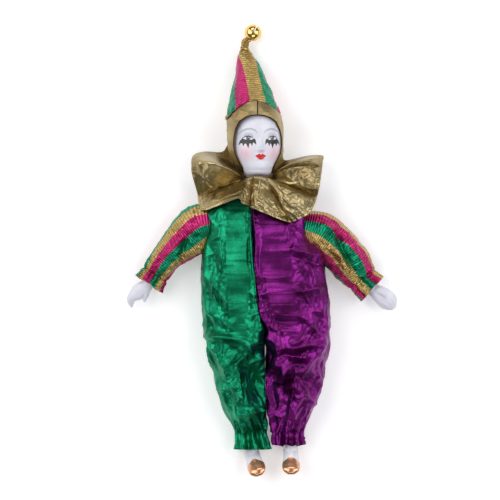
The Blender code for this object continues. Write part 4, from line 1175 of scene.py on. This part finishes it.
@dataclass
class Hat:
    """The cone of striped rib, with its end twisted into a crinkled hook."""

    finish: bpy.types.Material
    rows: int = 230
    around: int = 190

    def build(self) -> bpy.types.Object:
        """Builds the cone from the arched seam to the tip, then the hook along its bent path.

        Returns:
            The hat.
        """
        turn = np.linspace(0, 2 * math.pi, self.around, endpoint=False)[None]
        first = cowl_point(np.full((1, self.around), 124.0), turn)
        start = band_arch(first[..., 0])
        for _ in range(6):
            start = band_arch(cowl_point(start, turn)[..., 0])
        start = np.maximum(start, 117.0) + 0.15
        share = np.linspace(0, 1, self.rows - HOOK_ROWS)[:, None] ** 0.9
        y = start + (HAT_END - start) * share
        cone = cowl_point(y, turn)
        stem = Tube.through(HAT_TIP, HOOK_ROWS).rings(math.pi / 2 - turn[0])[1:]
        grid = np.concatenate([cone, stem])
        along = np.concatenate([share[:, 0], np.linspace(1, 1.25, HOOK_ROWS)[1:]])[:, None]
        out = outwards(grid, grid.mean(1, keepdims=True))
        soft = 0.9 * (creases(grid * (1 / 11, 1 / 24, 1 / 11), 51) - 0.5)
        soft += 0.35 * (creases(grid / 5, 55) - 0.5)
        near_tip = step(0.86, 1.0, along)
        twist = 0.55 * np.cos(5 * turn + grid[..., 1] * 1.1) * near_tip
        crimp = 0.7 * (creases(grid / 2.6, 57) - 0.5) * near_tip
        sewn = step(0.0, 0.05, along)
        grow = soft * (1 - near_tip) * sewn + twist + crimp - 0.25 * (1 - sewn)
        grid = grid + out * grow[..., None]
        grid[..., 2] = np.maximum(grid[..., 2], 0.3)
        uv = self._stripes(y, np.append(turn[0], 2 * math.pi), len(grid))
        grid = np.concatenate([grid, shrunk(grid[-1], 0.5)[None]])
        uv = np.concatenate([uv, uv[-1:]])
        surface = Surface(grid, uv=uv, cap_first=True, cap_last=True)
        made = surface.build("hat_cloth", self.finish, "hat")
        return made

    def _stripes(self, y: np.ndarray, turn: np.ndarray, rows: int) -> np.ndarray:
        """Unrolls the cone: distance from the tip times the sine of the unrolled turn.

        Args:
            y: (cone rows, around) places along the doll.
            turn: (around + 1,) turns round the cone.
            rows: rows of the whole piece.

        Returns:
            (rows, around + 1, 2) UVs, u across the stripes and v along them.
        """
        y = np.concatenate([y, y[:, :1]], axis=1)
        away = (181.0 - y) * 1.06
        centred = (turn[None] + math.pi) % (2 * math.pi) - math.pi
        centred[:, -1] = centred[:, 0]
        opened = 0.36 * centred
        across = away * np.sin(opened)
        share = np.clip((y - 130) / 40, 0, 1)
        across = 0.76 * (across * (1 + 0.69 * share) + 3.7 * share)
        uv = np.stack([across, away * np.cos(opened)], axis=-1)
        rest = rows - len(uv)
        tail = np.repeat(uv[-1:], rest, axis=0)
        tail[..., 0] = HAT_TAIL_U
        tail[..., 1] = -np.linspace(0, 14, rest)[:, None]
        return np.concatenate([uv, tail]) / UV_MM + (HAT_STRIPE_SHIFT, 0)


# The ruff: turns round the neck in degrees, 0 at the front and below 0 on the left
RUFF_RIDGES = [-99, -50, 6, 58, 86, 114, 150, 186, 222]
RUFF_EDGE = [
    (-180, 34), (-160, 38), (-135, 43), (-120, 46), (-114, 57), (-110, 62.8), (-98, 64), (-85, 61), (-77, 60),
    (-67, 61.4), (-60, 60), (-56, 45), (-51, 33), (-36, 29.8), (-22, 29.1), (-3, 31.2), (11, 35.2),
    (21, 40.5), (34, 49), (42, 50.7), (52, 53.3), (64, 52.9), (77, 52.2), (92, 53.1), (104, 56), (110, 57.4),
    (114, 49), (119, 36), (143, 29), (160, 31), (180, 34),
]
RUFF_HEIGHT = [
    (-180, 1.6), (-128, 1.6), (-119, 5), (-111, 18), (-90, 22), (-62, 27), (-50, 45), (0, 45), (45, 42), (70, 34),
    (90, 26), (108, 20), (117, 7), (126, 1.6), (180, 1.6),
]
RUFF_MIDDLE = (0.0, 64.0)
RUFF_NECK = (-3.6, 61.0, 24.0)


@dataclass
class Ruff:
    """The gathered collar: one band of gold lamé whose flutes open from the neck to the hem."""

    finish: bpy.types.Material
    rows: int = 74
    around: int = 664
    cloth: float = 0.5

    def build(self, suits: Sequence["SuitHalf"]) -> bpy.types.Object:
        """Builds the ruff.

        Each point lies on a line from the neck ring to the outer hem, lifted by the flutes.

        Args:
            suits: the suit halves that it lies on.

        Returns:
            The ruff.
        """
        turn = np.linspace(-180, 180, self.around, endpoint=False)
        share = np.linspace(0, 1, self.rows)[:, None]
        radians = np.radians(turn)
        inner = np.stack([
            RUFF_NECK[0] + 12.6 * np.sin(radians), RUFF_NECK[1] + 2.0 * np.clip(np.cos(radians), 0, 1),
            RUFF_NECK[2] + 12.6 * np.cos(radians),
        ], axis=1)
        edge = smooth(self._closed(RUFF_EDGE), turn)
        height = smooth(self._closed(RUFF_HEIGHT), turn)
        front = np.clip((125 - np.abs(turn)) / 20, 0, 1)
        phase = self._phase(turn)
        flute = 2 * np.abs(np.cos(phase / 2)) ** 0.75 - 1
        across, along = RUFF_MIDDLE[0] + edge * np.sin(radians), RUFF_MIDDLE[1] - edge * np.cos(radians)
        outer = np.stack([across, along, height], 1)
        s = share[..., None]
        grid = inner[None] * (1 - s) + outer[None] * s
        held = (1 - share) ** (3 - 2 * front[None])
        grid[..., 2] = inner[None, :, 2] * held + outer[None, :, 2] * (1 - held)
        grid[..., 2] += (6.0 * flute * front)[None] * share**0.6
        grid += self._rolls(turn, share) * front[None, :, None]
        grid[..., 2] += (5 * front * np.cos(radians / 2))[None] * 4 * share * (1 - share)
        reach = 3 + 3 * share
        cells = np.stack(np.broadcast_arrays(np.sin(radians) * reach, np.cos(radians) * reach, share * 3), -1)
        crumple = 1.3 * (creases(cells, 71) - 0.5) + 0.4 * (creases(cells * 2.3, 73) - 0.5)
        grid[..., 2] += crumple * front[None] * step(0, 0.3, share)
        cells = np.stack([radians * 4, 0 * radians, 0 * radians], -1)
        gathers = np.cos(radians * 46 + 3 * noise(cells, 3))
        grid[..., 2] += 0.5 * gathers[None] * np.exp(-share / 0.1) * (0.3 + 0.7 * front[None])
        floor = np.maximum(0.6, self._under(grid, suits)) * step(0.02, 0.2, share)
        lowest = np.where(front[None] > 0, floor + 0.9, 0.9)
        grid[..., 2] = np.maximum(grid[..., 2], lowest)
        out = normals_of(grid, True)
        out *= np.sign(out[..., 2].mean())
        top, low = grid + out * self.cloth / 2, grid - out * self.cloth / 2
        low[..., 2] = np.maximum(low[..., 2], 0.1)
        loop = np.concatenate([top, low[::-1]])
        hem = np.linalg.norm(np.diff(np.concatenate([grid[-1], grid[-1, :1]]), axis=0), axis=1)
        u = running_total(hem) / UV_MM
        away = np.linalg.norm(grid - grid[-1], axis=-1)
        away = np.concatenate([away, away[:, :1]], axis=1) / UV_MM
        uv = np.stack([u + 0 * away, away], axis=-1)
        uv = np.concatenate([uv, uv[::-1]])
        closed = np.concatenate([loop, loop[:1]])
        uv = np.concatenate([uv, uv[:1]])
        made = Surface(closed, uv=uv).build("ruff_cloth", self.finish, "ruff")
        face_outwards(made.data, merge=1e-8)
        span = np.linalg.norm(grid[-1] - grid[0], axis=-1).mean()
        LOG.info("ruff hem %.0f mm, mean width %.0f mm", hem.sum(), span)
        return made

    @staticmethod
    def _rolls(turn: np.ndarray, share: np.ndarray) -> np.ndarray:
        """Where the collar rolls up: under the chin, and at both sides in front of the hood.

        Args:
            turn: (around,) angles round the neck, degrees, 0 at the front.
            share: (rows, 1) shares of the way from the neck to the hem.

        Returns:
            (rows, around, 3) moves, mm: each a bell curve in the angle times a hump in the share.
        """
        chin = np.exp(-((turn / 62) ** 2))[None] * np.exp(-(((share - 0.07) / 0.11) ** 2))
        hump = 2.6 * (1 - share) * np.sqrt(share)
        sides = np.exp(-(((np.abs(turn) - 106) / 13) ** 2))[None] * hump
        bow = np.where(turn < 0, 4.5, 8.0)[None]
        return np.stack([0 * sides, 3.2 * chin + bow * sides, 8.5 * chin + 22 * sides], axis=-1)

    @staticmethod
    def _closed(stations: Sequence[tuple[float, float]]) -> list[tuple[float, float]]:
        """Angle stations repeated a turn either way, so that the curve closes."""
        inner = [s for s in stations if s[0] < 180]
        return [(a + turn, v) for turn in (-360, 0, 360) for a, v in inner]

    @staticmethod
    def _phase(turn: np.ndarray) -> np.ndarray:
        """Phase of the flutes: a whole cycle from each ridge to the next."""
        ridges = sorted(RUFF_RIDGES)
        marks = [r - 360 for r in ridges] + ridges + [r + 360 for r in ridges]
        return np.interp(turn, marks, 2 * math.pi * np.arange(len(marks)))

    @staticmethod
    def _under(grid: np.ndarray, suits: Sequence["SuitHalf"]) -> np.ndarray:
        """Height of the shoulders under each point: the suit's rounded section."""
        best = np.zeros(grid.shape[:2])
        y = np.clip(grid[..., 1], -20, NECKLINE)
        for suit in suits:
            flat = y.reshape(-1)
            outer = smooth(suit.edge, flat).reshape(y.shape)
            inner = smooth(SEAM_LINE, flat).reshape(y.shape)
            top = smooth(SUIT_TOP, flat).reshape(y.shape)
            off = np.clip(np.abs(grid[..., 0] - (outer + inner) / 2) / np.abs((outer - inner) / 2), 0, 1)
            rise = (1 - off**2.3) ** (1 / 2.4)
            shoulder = top * (0.42 + 0.58 * rise) * (off < 1)
            best = np.maximum(best, np.where(grid[..., 1] < NECKLINE + 1.5, shoulder, 0))
        return best


LEFT_PALM = [
    (-101.6, -30.8, 11.4, 5.4, 5.2), (-105, -34.4, 11.4, 6.2, 5.4), (-108.6, -37, 11, 7.2, 5.2),
    (-113, -40.6, 10.6, 6.8, 4.8), (-117, -44.2, 9.6, 4.6, 4.2), (-118.4, -48.2, 8.6, 3.4, 3.4),
    (-117.8, -52.4, 8, 1.5, 1.8),
]
LEFT_THUMB = [
    (-104, -34.6, 11.6, 4.4, 4), (-104.4, -39.2, 11.8, 3.6, 3.4), (-105.2, -43.6, 11.6, 2.6, 2.6),
    (-106, -47.6, 11.2, 1.2, 1.4),
]
RIGHT_PALM = [
    (98.2, -36, 11.4, 5.4, 5.2), (102, -38.6, 11.4, 6.4, 5.4), (106.4, -41.4, 11, 8, 5.2),
    (111.6, -45.4, 10.4, 8.8, 4.8), (115.4, -49.4, 9.6, 7.6, 4.2), (118.2, -53, 8.8, 4.6, 3),
]
RIGHT_THUMB = [
    (101.4, -37.6, 13.4, 3.6, 3.4), (106, -38.6, 14.8, 3.3, 3), (109.8, -41.2, 15.2, 2.5, 2.3),
    (111.6, -44.4, 14.8, 1.2, 1.2),
]


@dataclass
class Hand:
    """A small porcelain hand: joined fingers with shallow grooves, a thumb, and a wrist stub."""

    node: str
    palm: Stations
    thumb: Stations
    sleeve: Stations
    finish: bpy.types.Material

    def build(self) -> bpy.types.Object:
        """Builds the parts and joins them into one skin.

        Returns:
            The hand.
        """
        gather, hem = np.array(self.sleeve[6][:3]), np.array(self.sleeve[-1][:3])
        along = (hem - gather) / np.linalg.norm(hem - gather)
        wrist = [(*(gather - 12 * along), 5.5, 5.5), (*gather, 5.5, 5.5), (*hem, 5.5, 5.5)]
        made = []
        for key, line, rows in (("palm", self.palm, 60), ("thumb", self.thumb, 40), ("wrist", wrist, 30)):
            tube = Tube.through(line, rows)
            angle = np.linspace(0, 2 * math.pi, 48, endpoint=False)
            grid = tube.rings(angle)
            if key == "palm":
                reach = np.linspace(0, 1, rows)[:, None]
                groove = np.cos(angle[None]) * 4
                reached = step(0.55, 0.8, reach) * step(1.0, 0.93, reach)
                fingers = 0.35 * np.cos(groove * math.pi) * reached
                centre = tube.stations[:, None, :3]
                grid = centre + (grid - centre) * (1 + fingers[..., None] / 5)
            ends = [shrunk(grid[0], share) for share in (0.3, 0.7)]
            tips = [shrunk(grid[-1], share) + tube_end(tube) * past for share, past in ((0.8, 0.35), (0.4, 0.65))]
            rings = np.concatenate([np.array(ends), grid, np.array(tips)])
            made.append(Surface(rings))
        return join_skin(self.node + "_porcelain", made, self.finish, self.node, 0.45)


def tube_end(tube: Tube) -> np.ndarray:
    """The direction in which a tube ends, times its last half height."""
    way = tube.stations[-1, :3] - tube.stations[-2, :3]
    return way / np.linalg.norm(way) * tube.stations[-1, 4]


def join_skin(
    name: str, surfaces: Sequence[Surface], finish: bpy.types.Material, node: str, voxel_mm: float
) -> bpy.types.Object:
    """Melts closed surfaces into one smooth skin by remeshing them on a fine grid.

    Args:
        name: the piece's name.
        surfaces: the closed surfaces.
        finish: the material.
        node: the CAD node that the piece stands for.
        voxel_mm: the grid's spacing.

    Returns:
        The piece.
    """
    points, corners = [], []
    start = 0
    for surface in surfaces:
        rows, count = surface.grid.shape[:2]
        flat = surface.grid.reshape(-1, 3)
        points += [flat, surface.grid[0].mean(0)[None], surface.grid[-1].mean(0)[None]]
        corners += (surface.faces() + start).tolist()
        first, last = start + rows * count, start + rows * count + 1
        corners += [[first, start + (i + 1) % count, start + i] for i in range(count)]
        edge = start + (rows - 1) * count
        corners += [[last, edge + i, edge + (i + 1) % count] for i in range(count)]
        start += rows * count + 2
    mesh = bpy.data.meshes.new(name)
    mesh.from_pydata(((np.concatenate(points) + DRAWN_TO_FRAME) * MM).tolist(), [], corners)
    face_outwards(mesh)
    thing = bpy.data.objects.new(name, mesh)
    bpy.context.scene.collection.objects.link(thing)
    melt = thing.modifiers.new("melt", "REMESH")
    melt.mode, melt.voxel_size, melt.use_smooth_shade = "VOXEL", voxel_mm * MM, True
    even = thing.modifiers.new("even", "SMOOTH")
    even.factor, even.iterations = 0.5, 6
    seen = thing.evaluated_get(bpy.context.evaluated_depsgraph_get())
    done = bpy.data.meshes.new_from_object(seen)
    bpy.data.objects.remove(thing)
    done.name = name
    done.shade_smooth()
    return adopt(bpy.data.objects.new(name, done), finish, node)


@dataclass
class Leg:
    """A porcelain ankle and its moulded slipper, painted in copper."""

    node: str
    leg_x: float
    toe_x: float
    ankle_y: float
    pitch: float = math.radians(52.0)
    length: float = 33.0
    width: float = 16.0

    def build(self) -> bpy.types.Object:
        """Builds the shank and the shoe as one skin, with the shoe's edge as a painted line.

        Returns:
            The leg.
        """
        turn = math.atan2(self.toe_x - self.leg_x, self.length * 0.6)
        along = np.array([
            math.sin(turn) * math.cos(self.pitch), -math.cos(turn) * math.cos(self.pitch), math.sin(self.pitch)
        ])
        up = np.array([0, 0, 1.0]) - along[2] * along
        up /= np.linalg.norm(up)
        across = np.cross(along, up)
        ankle = np.array([self.leg_x, self.ankle_y, 10.5])
        heel = ankle - along * 0.22 * self.length - up * 0.12 * self.length
        shape = [
            (0.0, 0.22, 0.2), (0.06, 0.36, 0.34), (0.2, 0.44, 0.42), (0.4, 0.44, 0.38), (0.6, 0.5, 0.3),
            (0.8, 0.5, 0.25), (0.93, 0.4, 0.2), (1.0, 0.2, 0.12),
        ]
        place = np.linspace(0, 1, 70)
        wide = smooth([(a, b) for a, b, _ in shape], place)[:, None]
        tall = smooth([(a, c) for a, _, c in shape], place)[:, None]
        angle = np.linspace(0, 2 * math.pi, 56, endpoint=False)[None]
        middle = heel + place[:, None, None] * along * self.length
        middle = middle + ((tall - 0.34) * 0.5 * self.width)[..., None] * up
        high = np.maximum(np.sin(angle), -0.72) * tall * self.width
        shoe = middle + (np.cos(angle) * wide * self.width)[..., None] * across + high[..., None] * up
        shoe[..., 2] = np.maximum(shoe[..., 2], 0.05)
        top = np.array([self.leg_x, CUFF_GATHER + 12.8, 10.5])
        low = ankle - (0, 1.5, 0)
        shank = Tube.through([(*top, 5.5, 5.5), (*((top + low) / 2), 5.5, 5.5), (*low, 5.5, 5.5)], 40)
        rings = shank.rings(np.linspace(0, 2 * math.pi, 48, endpoint=False))
        skins = [Surface(shoe), Surface(rings)]
        made = join_skin(self.node + "_porcelain", skins, self._finish(), self.node, 0.5)
        self._mark_shoe(made, heel, along, up, across)
        return made

    def _mark_shoe(
        self, made: bpy.types.Object, heel: np.ndarray, along: np.ndarray, up: np.ndarray, across: np.ndarray
    ) -> None:
        """Writes the signed distance to the shoe's painted edge: a V that dips over the instep.

        Args:
            made: the leg.
            heel: the shoe's heel point.
            along: from heel to toe.
            up: out of the instep.
            across: to the foot's side.
        """
        data = np.empty(len(made.data.vertices) * 3, np.float32)
        made.data.vertices.foreach_get("co", data)
        off = data.reshape(-1, 3) / MM - DRAWN_TO_FRAME - heel
        reach, height, wide = off @ along, off @ up, off @ across
        throat = 0.52 * self.length + 0.55 * np.abs(wide)
        collar = 3.4 - 0.25 * reach
        inside = np.minimum(throat - reach, height - np.minimum(collar, 3.0))
        layer = made.data.attributes.new("shoe", "FLOAT", "POINT")
        layer.data.foreach_set("value", inside.astype(np.float32))

    def _finish(self) -> bpy.types.Material:
        """White glaze with a copper lustre shoe, whose metal and gloss follow the painted edge."""
        made, tree, shader = fresh_material(self.node + "_glaze_and_lustre")
        distance = add_node(tree, "Attribute", attribute_name="shoe").outputs["Fac"]
        limits = {1: 0.15, 2: -0.15, 3: 0.0, 4: 1.0}
        paint = add_node(tree, "MapRange", limits, {0: distance}).outputs[0]
        place = add_node(tree, "TexCoord").outputs["Object"]
        sizes = {"Scale": 1 / (3 * MM), "Detail": 3.0}
        brushed = add_node(tree, "TexNoise", sizes, {"Vector": place}).outputs["Fac"]
        pair = {6: hex_to_linear("#E9B48C"), 7: hex_to_linear("#D79A70")}
        copper = add_node(tree, "Mix", pair, {0: brushed}, data_type="RGBA").outputs[2]
        white = {6: hex_to_linear("#E6E5EE")}
        colour = add_node(tree, "Mix", white, {0: paint, 7: copper}, data_type="RGBA").outputs[2]
        metal = add_node(tree, "Math", {1: 0.85}, {0: paint}, operation="MULTIPLY").outputs[0]
        gloss = add_node(tree, "MapRange", {1: 0.0, 2: 1.0, 3: 0.42, 4: 0.27}, {0: paint}).outputs[0]
        tree.links.new(colour, shader.inputs["Base Color"])
        tree.links.new(metal, shader.inputs["Metallic"])
        tree.links.new(gloss, shader.inputs["Roughness"])
        shader.inputs["Coat Weight"].default_value = 0.4
        shader.inputs["Coat Roughness"].default_value = 0.15
        return made


@dataclass
class Bell:
    """A stamped jingle bell: two crimped halves, a cross of slots with round ends, and a loop."""

    radius: float = 7.7
    wall: float = 0.6
    rim: float = 0.5
    slot: float = 1.2
    hole: float = 1.4
    loop: float = 1.8
    middle: tuple[float, float] = (-8.0, 194.9)
    tilt: float = math.radians(-30.0)

    def build(self, finish: bpy.types.Material) -> bpy.types.Object:
        """Builds the bell: a turned profile, cut by two slots and four holes.

        Returns:
            The bell.
        """
        around = np.linspace(0, 2 * math.pi, 96, endpoint=False)[None]
        lift = np.linspace(-math.pi / 2 + 0.03, math.pi / 2 - 0.03, 90)[:, None]
        band = np.exp(-((lift * self.radius / 0.45) ** 4))
        size = self.radius + self.rim * band
        level = [size * np.cos(lift) * np.cos(around), size * np.cos(lift) * np.sin(around)]
        outer = np.stack([*level, size * np.sin(lift) + 0 * around], -1)
        inside = (self.radius - self.wall) / self.radius * outer[::-1]
        shell = self._solid("bell_shell", outer)
        self._cut(shell, self._solid("bell_hollow", inside))
        for spin in (0.0, math.pi / 2):
            c, s = math.cos(spin), math.sin(spin)
            square = ((-1, -1), (1, -1), (1, 1), (-1, 1))
            box = np.array([[(x, y, z) for x, y in square] for z in (1.9, 12.0)], float)
            box *= (self.radius * 0.93, self.slot / 2, 1)
            self._cut(shell, self._solid("slot", self._spun(box, c, s)))
            for end in (-1, 1):
                way = np.array([end, 0, 0.35]) / math.hypot(1, 0.35)
                start = np.array([end * self.radius * 0.9, 0, 2.6])
                ring = np.linspace(0, 2 * math.pi, 24, endpoint=False)
                side, up = np.array([0, 1.0, 0]), np.cross(way, (0, 1.0, 0))
                circle = self.hole * (np.cos(ring)[:, None] * side + np.sin(ring)[:, None] * up)
                pair = np.stack([start - 2 * way + circle, start + 4 * way + circle])
                self._cut(shell, self._solid("hole", self._spun(pair, c, s)))
        turn = np.linspace(0, math.pi, 24)
        line = np.stack([self.loop * np.cos(turn), 0 * turn, 0.6 - self.radius - self.loop * np.sin(turn)], -1)
        radial = line - (0, 0, 0.6 - self.radius)
        radial /= np.linalg.norm(radial, axis=1, keepdims=True)
        ring = np.linspace(0, 2 * math.pi, 14, endpoint=False)
        round_line = np.cos(ring)[None, :, None] * radial[:, None]
        round_line = round_line + np.sin(ring)[None, :, None] * np.array([0, 1.0, 0])
        loop = self._solid("loop", line[:, None] + 0.7 * round_line)
        joined = bmesh.new()
        joined.from_mesh(shell.data)
        joined.from_mesh(loop.data)
        bpy.data.objects.remove(loop)
        mesh = bpy.data.meshes.new("bell_brass")
        joined.to_mesh(mesh)
        joined.free()
        bpy.data.objects.remove(shell)
        data = np.empty(len(mesh.vertices) * 3, np.float32)
        mesh.vertices.foreach_get("co", data)
        x, side, axis = (data.reshape(-1, 3) / MM).T
        c, s = math.cos(self.tilt), math.sin(self.tilt)
        points = np.stack([
            c * x - s * axis + self.middle[0], s * x + c * axis + self.middle[1], side + self.radius + self.rim
        ], -1)
        mesh.vertices.foreach_set("co", ((points + DRAWN_TO_FRAME) * MM).reshape(-1).astype(np.float32))
        face_outwards(mesh, merge=1e-7)
        mesh.shade_smooth()
        mesh.set_sharp_from_angle(angle=math.radians(40))
        return adopt(bpy.data.objects.new("bell_brass", mesh), finish, "bell")

    @staticmethod
    def _spun(points: np.ndarray, c: float, s: float) -> np.ndarray:
        """Points turned about the bell's axis by the turn of that cosine and sine."""
        x, y = points[..., 0], points[..., 1]
        return np.stack([c * x - s * y, s * x + c * y, points[..., 2]], -1)

    @staticmethod
    def _solid(name: str, rings: np.ndarray) -> bpy.types.Object:
        """A closed solid through rings, with flat ends, in metres at the origin."""
        rows, count = rings.shape[:2]
        corners = Surface(rings).faces().tolist()
        corners += [list(range(count))[::-1], list(range((rows - 1) * count, rows * count))]
        mesh = bpy.data.meshes.new(name)
        mesh.from_pydata((rings.reshape(-1, 3) * MM).tolist(), [], corners)
        face_outwards(mesh)
        thing = bpy.data.objects.new(name, mesh)
        bpy.context.scene.collection.objects.link(thing)
        return thing

    @staticmethod
    def _cut(thing: bpy.types.Object, other: bpy.types.Object) -> None:
        """Cuts one solid by another, which is used up."""
        change = thing.modifiers.new("cut", "BOOLEAN")
        change.operation, change.object = "DIFFERENCE", other
        seen = thing.evaluated_get(bpy.context.evaluated_depsgraph_get())
        done = bpy.data.meshes.new_from_object(seen)
        thing.modifiers.clear()
        thing.data = done
        bpy.data.objects.remove(other)


@dataclass
class Studio:
    """A plain pale floor, soft lights and a camera straight above."""

    centre: tuple[float, float] = (-10.8, -1.44)
    height: float = 3.0
    frame_mm: float = 450.0

    def build(self) -> None:
        """Builds the floor, the lights, the world and the camera."""
        self._floor()
        x, y = (self.centre[0] + DRAWN_TO_FRAME[0]) * MM, (self.centre[1] + DRAWN_TO_FRAME[1]) * MM
        self._light("key_left", (-0.95, 0.35, 0.95), (0, 0.02, 0), (1.1, 1.4), 12.0)
        self._light("key_right", (0.95, 0.15, 0.9), (0, 0, 0), (0.9, 1.3), 8.5)
        self._light("hat_side", (0.05, 1.15, 0.8), (0, 0.02, 0), (1.1, 0.5), 4.5)
        self._light("foot_side", (0.1, -1.1, 1.2), (0, 0, 0), (1.1, 0.7), 5.0)
        world = bpy.data.worlds.new("room")
        world.use_nodes = True
        world.node_tree.nodes["Background"].inputs[0].default_value = (0.9, 0.92, 1.0, 1)
        world.node_tree.nodes["Background"].inputs[1].default_value = 0.16
        bpy.context.scene.world = world
        lens = bpy.data.cameras.new("camera")
        lens.sensor_width = 36.0
        lens.lens = 36.0 * (self.height - 0.02) / (self.frame_mm * MM)
        lens.clip_end = 10.0
        camera = bpy.data.objects.new("camera", lens)
        camera.location = (x, y, self.height)
        bpy.context.scene.collection.objects.link(camera)
        bpy.context.scene.camera = camera
        bpy.context.scene.view_settings.view_transform = "Standard"

    @staticmethod
    def _floor() -> None:
        """A wide pale sheet of paper under the doll."""
        mesh = bpy.data.meshes.new("floor")
        corners = [(-3, -3, -0.0004), (3, -3, -0.0004), (3, 3, -0.0004), (-3, 3, -0.0004)]
        mesh.from_pydata(corners, [], [(0, 1, 2, 3)])
        floor = bpy.data.objects.new("floor", mesh)
        made, tree, shader = fresh_material("white_paper")
        place = add_node(tree, "TexCoord").outputs["Object"]
        sizes = {"Scale": 900.0, "Detail": 3.0}
        grain = add_node(tree, "TexNoise", sizes, {"Vector": place}).outputs["Fac"]
        pair = {6: (0.9, 0.9, 0.905, 1), 7: (0.93, 0.93, 0.935, 1)}
        tint = add_node(tree, "Mix", pair, {0: grain}, data_type="RGBA")
        tree.links.new(tint.outputs[2], shader.inputs["Base Color"])
        shader.inputs["Roughness"].default_value = 0.9
        shader.inputs["Emission Color"].default_value = (1, 1, 1, 1)
        shader.inputs["Emission Strength"].default_value = 0.3
        floor.data.materials.append(made)
        bpy.context.scene.collection.objects.link(floor)

    @staticmethod
    def _light(
        name: str,
        at: tuple[float, float, float],
        to: tuple[float, float, float],
        size: tuple[float, float],
        watts: float,
    ) -> None:
        """One softbox, aimed at a point.

        Args:
            name: its name.
            at: its place, m.
            to: where it points.
            size: its width and height, m.
            watts: its power.
        """
        lamp = bpy.data.lights.new(name, "AREA")
        lamp.shape, lamp.size, lamp.size_y, lamp.energy = "RECTANGLE", size[0], size[1], watts
        thing = bpy.data.objects.new(name, lamp)
        thing.location = at
        thing.rotation_euler = (Vector(to) - Vector(at)).to_track_quat("-Z", "Y").to_euler()
        bpy.context.scene.collection.objects.link(thing)


GREEN_FOLDS: list[Fold] = [
    (-53, -22, -16, -66, 4.5, 4.5), (-16, -66, -4, -80, 4, 4.5), (-50, -78, -10, -82, 3.2, 3.6),
    (-17, -40, -14, -60, 9, -4.5), (-48, -40, -30, -66, 6, -3.5), (-15, -82, -8, -96, 3, 3.6),
    (-8, -88, -22, -104, 4, 3.4), (-20, -102, -10, -120, 8, -5), (-36, -96, -30, -126, 5, 3.2),
    (-44, -92, -34, -96, 4, -3), (-31, 6, -27, -34, 4.5, -4), (-44, 0, -38, -52, 5, -3.6),
    (-38, 22, -34, -20, 4, 3.2), (-20, 20, -20, -24, 5, 3), (-12, 10, -13, -30, 4, -2.6),
    (-22, -128, -12, -140, 4, 3.4), (-34, -120, -26, -146, 4, -3), (-5, -104, -3, -136, 3.5, -3),
]
PURPLE_FOLDS: list[Fold] = [
    (20, 34, 20, 2, 3.4, -4.6), (24, 26, 21, 4, 3, 3.6), (22, 0, 54, -8, 3.6, 4.2), (26, -7, 54, -15, 4, -4.4),
    (20, -2, 19, -50, 4.5, -3.4), (0, -26, 16, -22, 4, 3), (-2, -42, 18, -34, 4, 3.2), (22, -40, 58, -34, 4.5, 3.6),
    (38, -46, 41, -54, 2.4, -3), (20, -54, 39, -63, 4.5, 4.6), (39, -63, 57, -83, 4, 4.6),
    (6, -62, 34, -76, 5, -3.6), (12, -90, 55, -85, 3.6, 4.8), (13, -97, 32, -98, 5, -5), (55, -87, 36, -111, 3.4, 4.6),
    (50, -96, 48, -124, 6, -3.6), (14, -104, 24, -112, 3.4, 3.8), (36, -110, 22, -112, 3.2, 3),
    (20, -110, 17, -136, 3.2, 4), (26, -118, 25, -140, 5, -4.2), (39, -126, 26, -150, 3.4, 4), (9, -112, 9, -140, 4, -3),
]
LEFT_SLEEVE_FOLDS: list[Fold] = [
    (-64, 18, -86, -8, 4, 2.6), (-68, 14, -72, -12, 3, -5), (-64, 4, -54, 14, 4, -3.4), (-58, 2, -52, -4, 4, 2.8),
    (-74, -8, -80, -14, 3, 2.6), (-88, -8, -92, -22, 3, 2),
]
RIGHT_SLEEVE_FOLDS: list[Fold] = [
    (50, 20, 68, 18, 4, 3), (68, 18, 73, 2, 3.6, -6.5), (70, 4, 84, -24, 3, -5), (63, 14, 60, 4, 4, -4),
    (76, 12, 92, -18, 5, 2.6), (64, 4, 78, -20, 4, 3.4), (58, -2, 70, -14, 3, -2.6),
]


def main() -> None:
    """Dresses the studio and builds the doll, from the suit outwards."""
    logging.basicConfig(level=logging.INFO, format="%(name)s: %(message)s")
    Studio().build()
    gold = FoilLame("gold_foil_lame", "#B5A377", "#8A7650", 0.42).make()
    overlocked = FoilLame("gold_foil_lame_overlocked", "#BBAA7E", "#8C7952", 0.33, stitched_edge=True)
    ruff_gold = overlocked.make()
    green = FoilLame("green_foil_lame", "#1B946A", "#0F6846", 0.37).make()
    purple = FoilLame("purple_foil_lame", "#852481", "#581852", 0.35).make()
    striped = StripedLame("striped_lurex_rib", ("#C22F6E", "#C0A262", "#14936A"), 10.4).make()
    porcelain = GlazedPorcelain("glazed_porcelain").make()
    suits = [
        SuitHalf(Side.LEFT, "suit_green", GREEN_EDGE, -181.2, GREEN_FOLDS, green, 11),
        SuitHalf(Side.RIGHT, "suit_purple", PURPLE_EDGE, -177.4, PURPLE_FOLDS, purple, 23),
    ]
    for suit in suits:
        suit.build()
    Sleeve("sleeve_left", LEFT_SLEEVE, LEFT_SLEEVE_FOLDS, striped, 41, 0.0, 1).build()
    Sleeve("sleeve_right", RIGHT_SLEEVE, RIGHT_SLEEVE_FOLDS, striped, 47, -9.0, -1).build()
    Head().build()
    Hood(gold).build()
    Hat(striped).build()
    Bell().build(PlatedBrass().make())
    Ruff(ruff_gold).build(suits)
    Hand("hand_left", LEFT_PALM, LEFT_THUMB, LEFT_SLEEVE, porcelain).build()
    Hand("hand_right", RIGHT_PALM, RIGHT_THUMB, RIGHT_SLEEVE, porcelain).build()
    Leg("leg_left", -9.4, -2.6, -184.4).build()
    Leg("leg_right", 26.0, 26.2, -182.0).build()


if __name__ == "__main__":
    main()
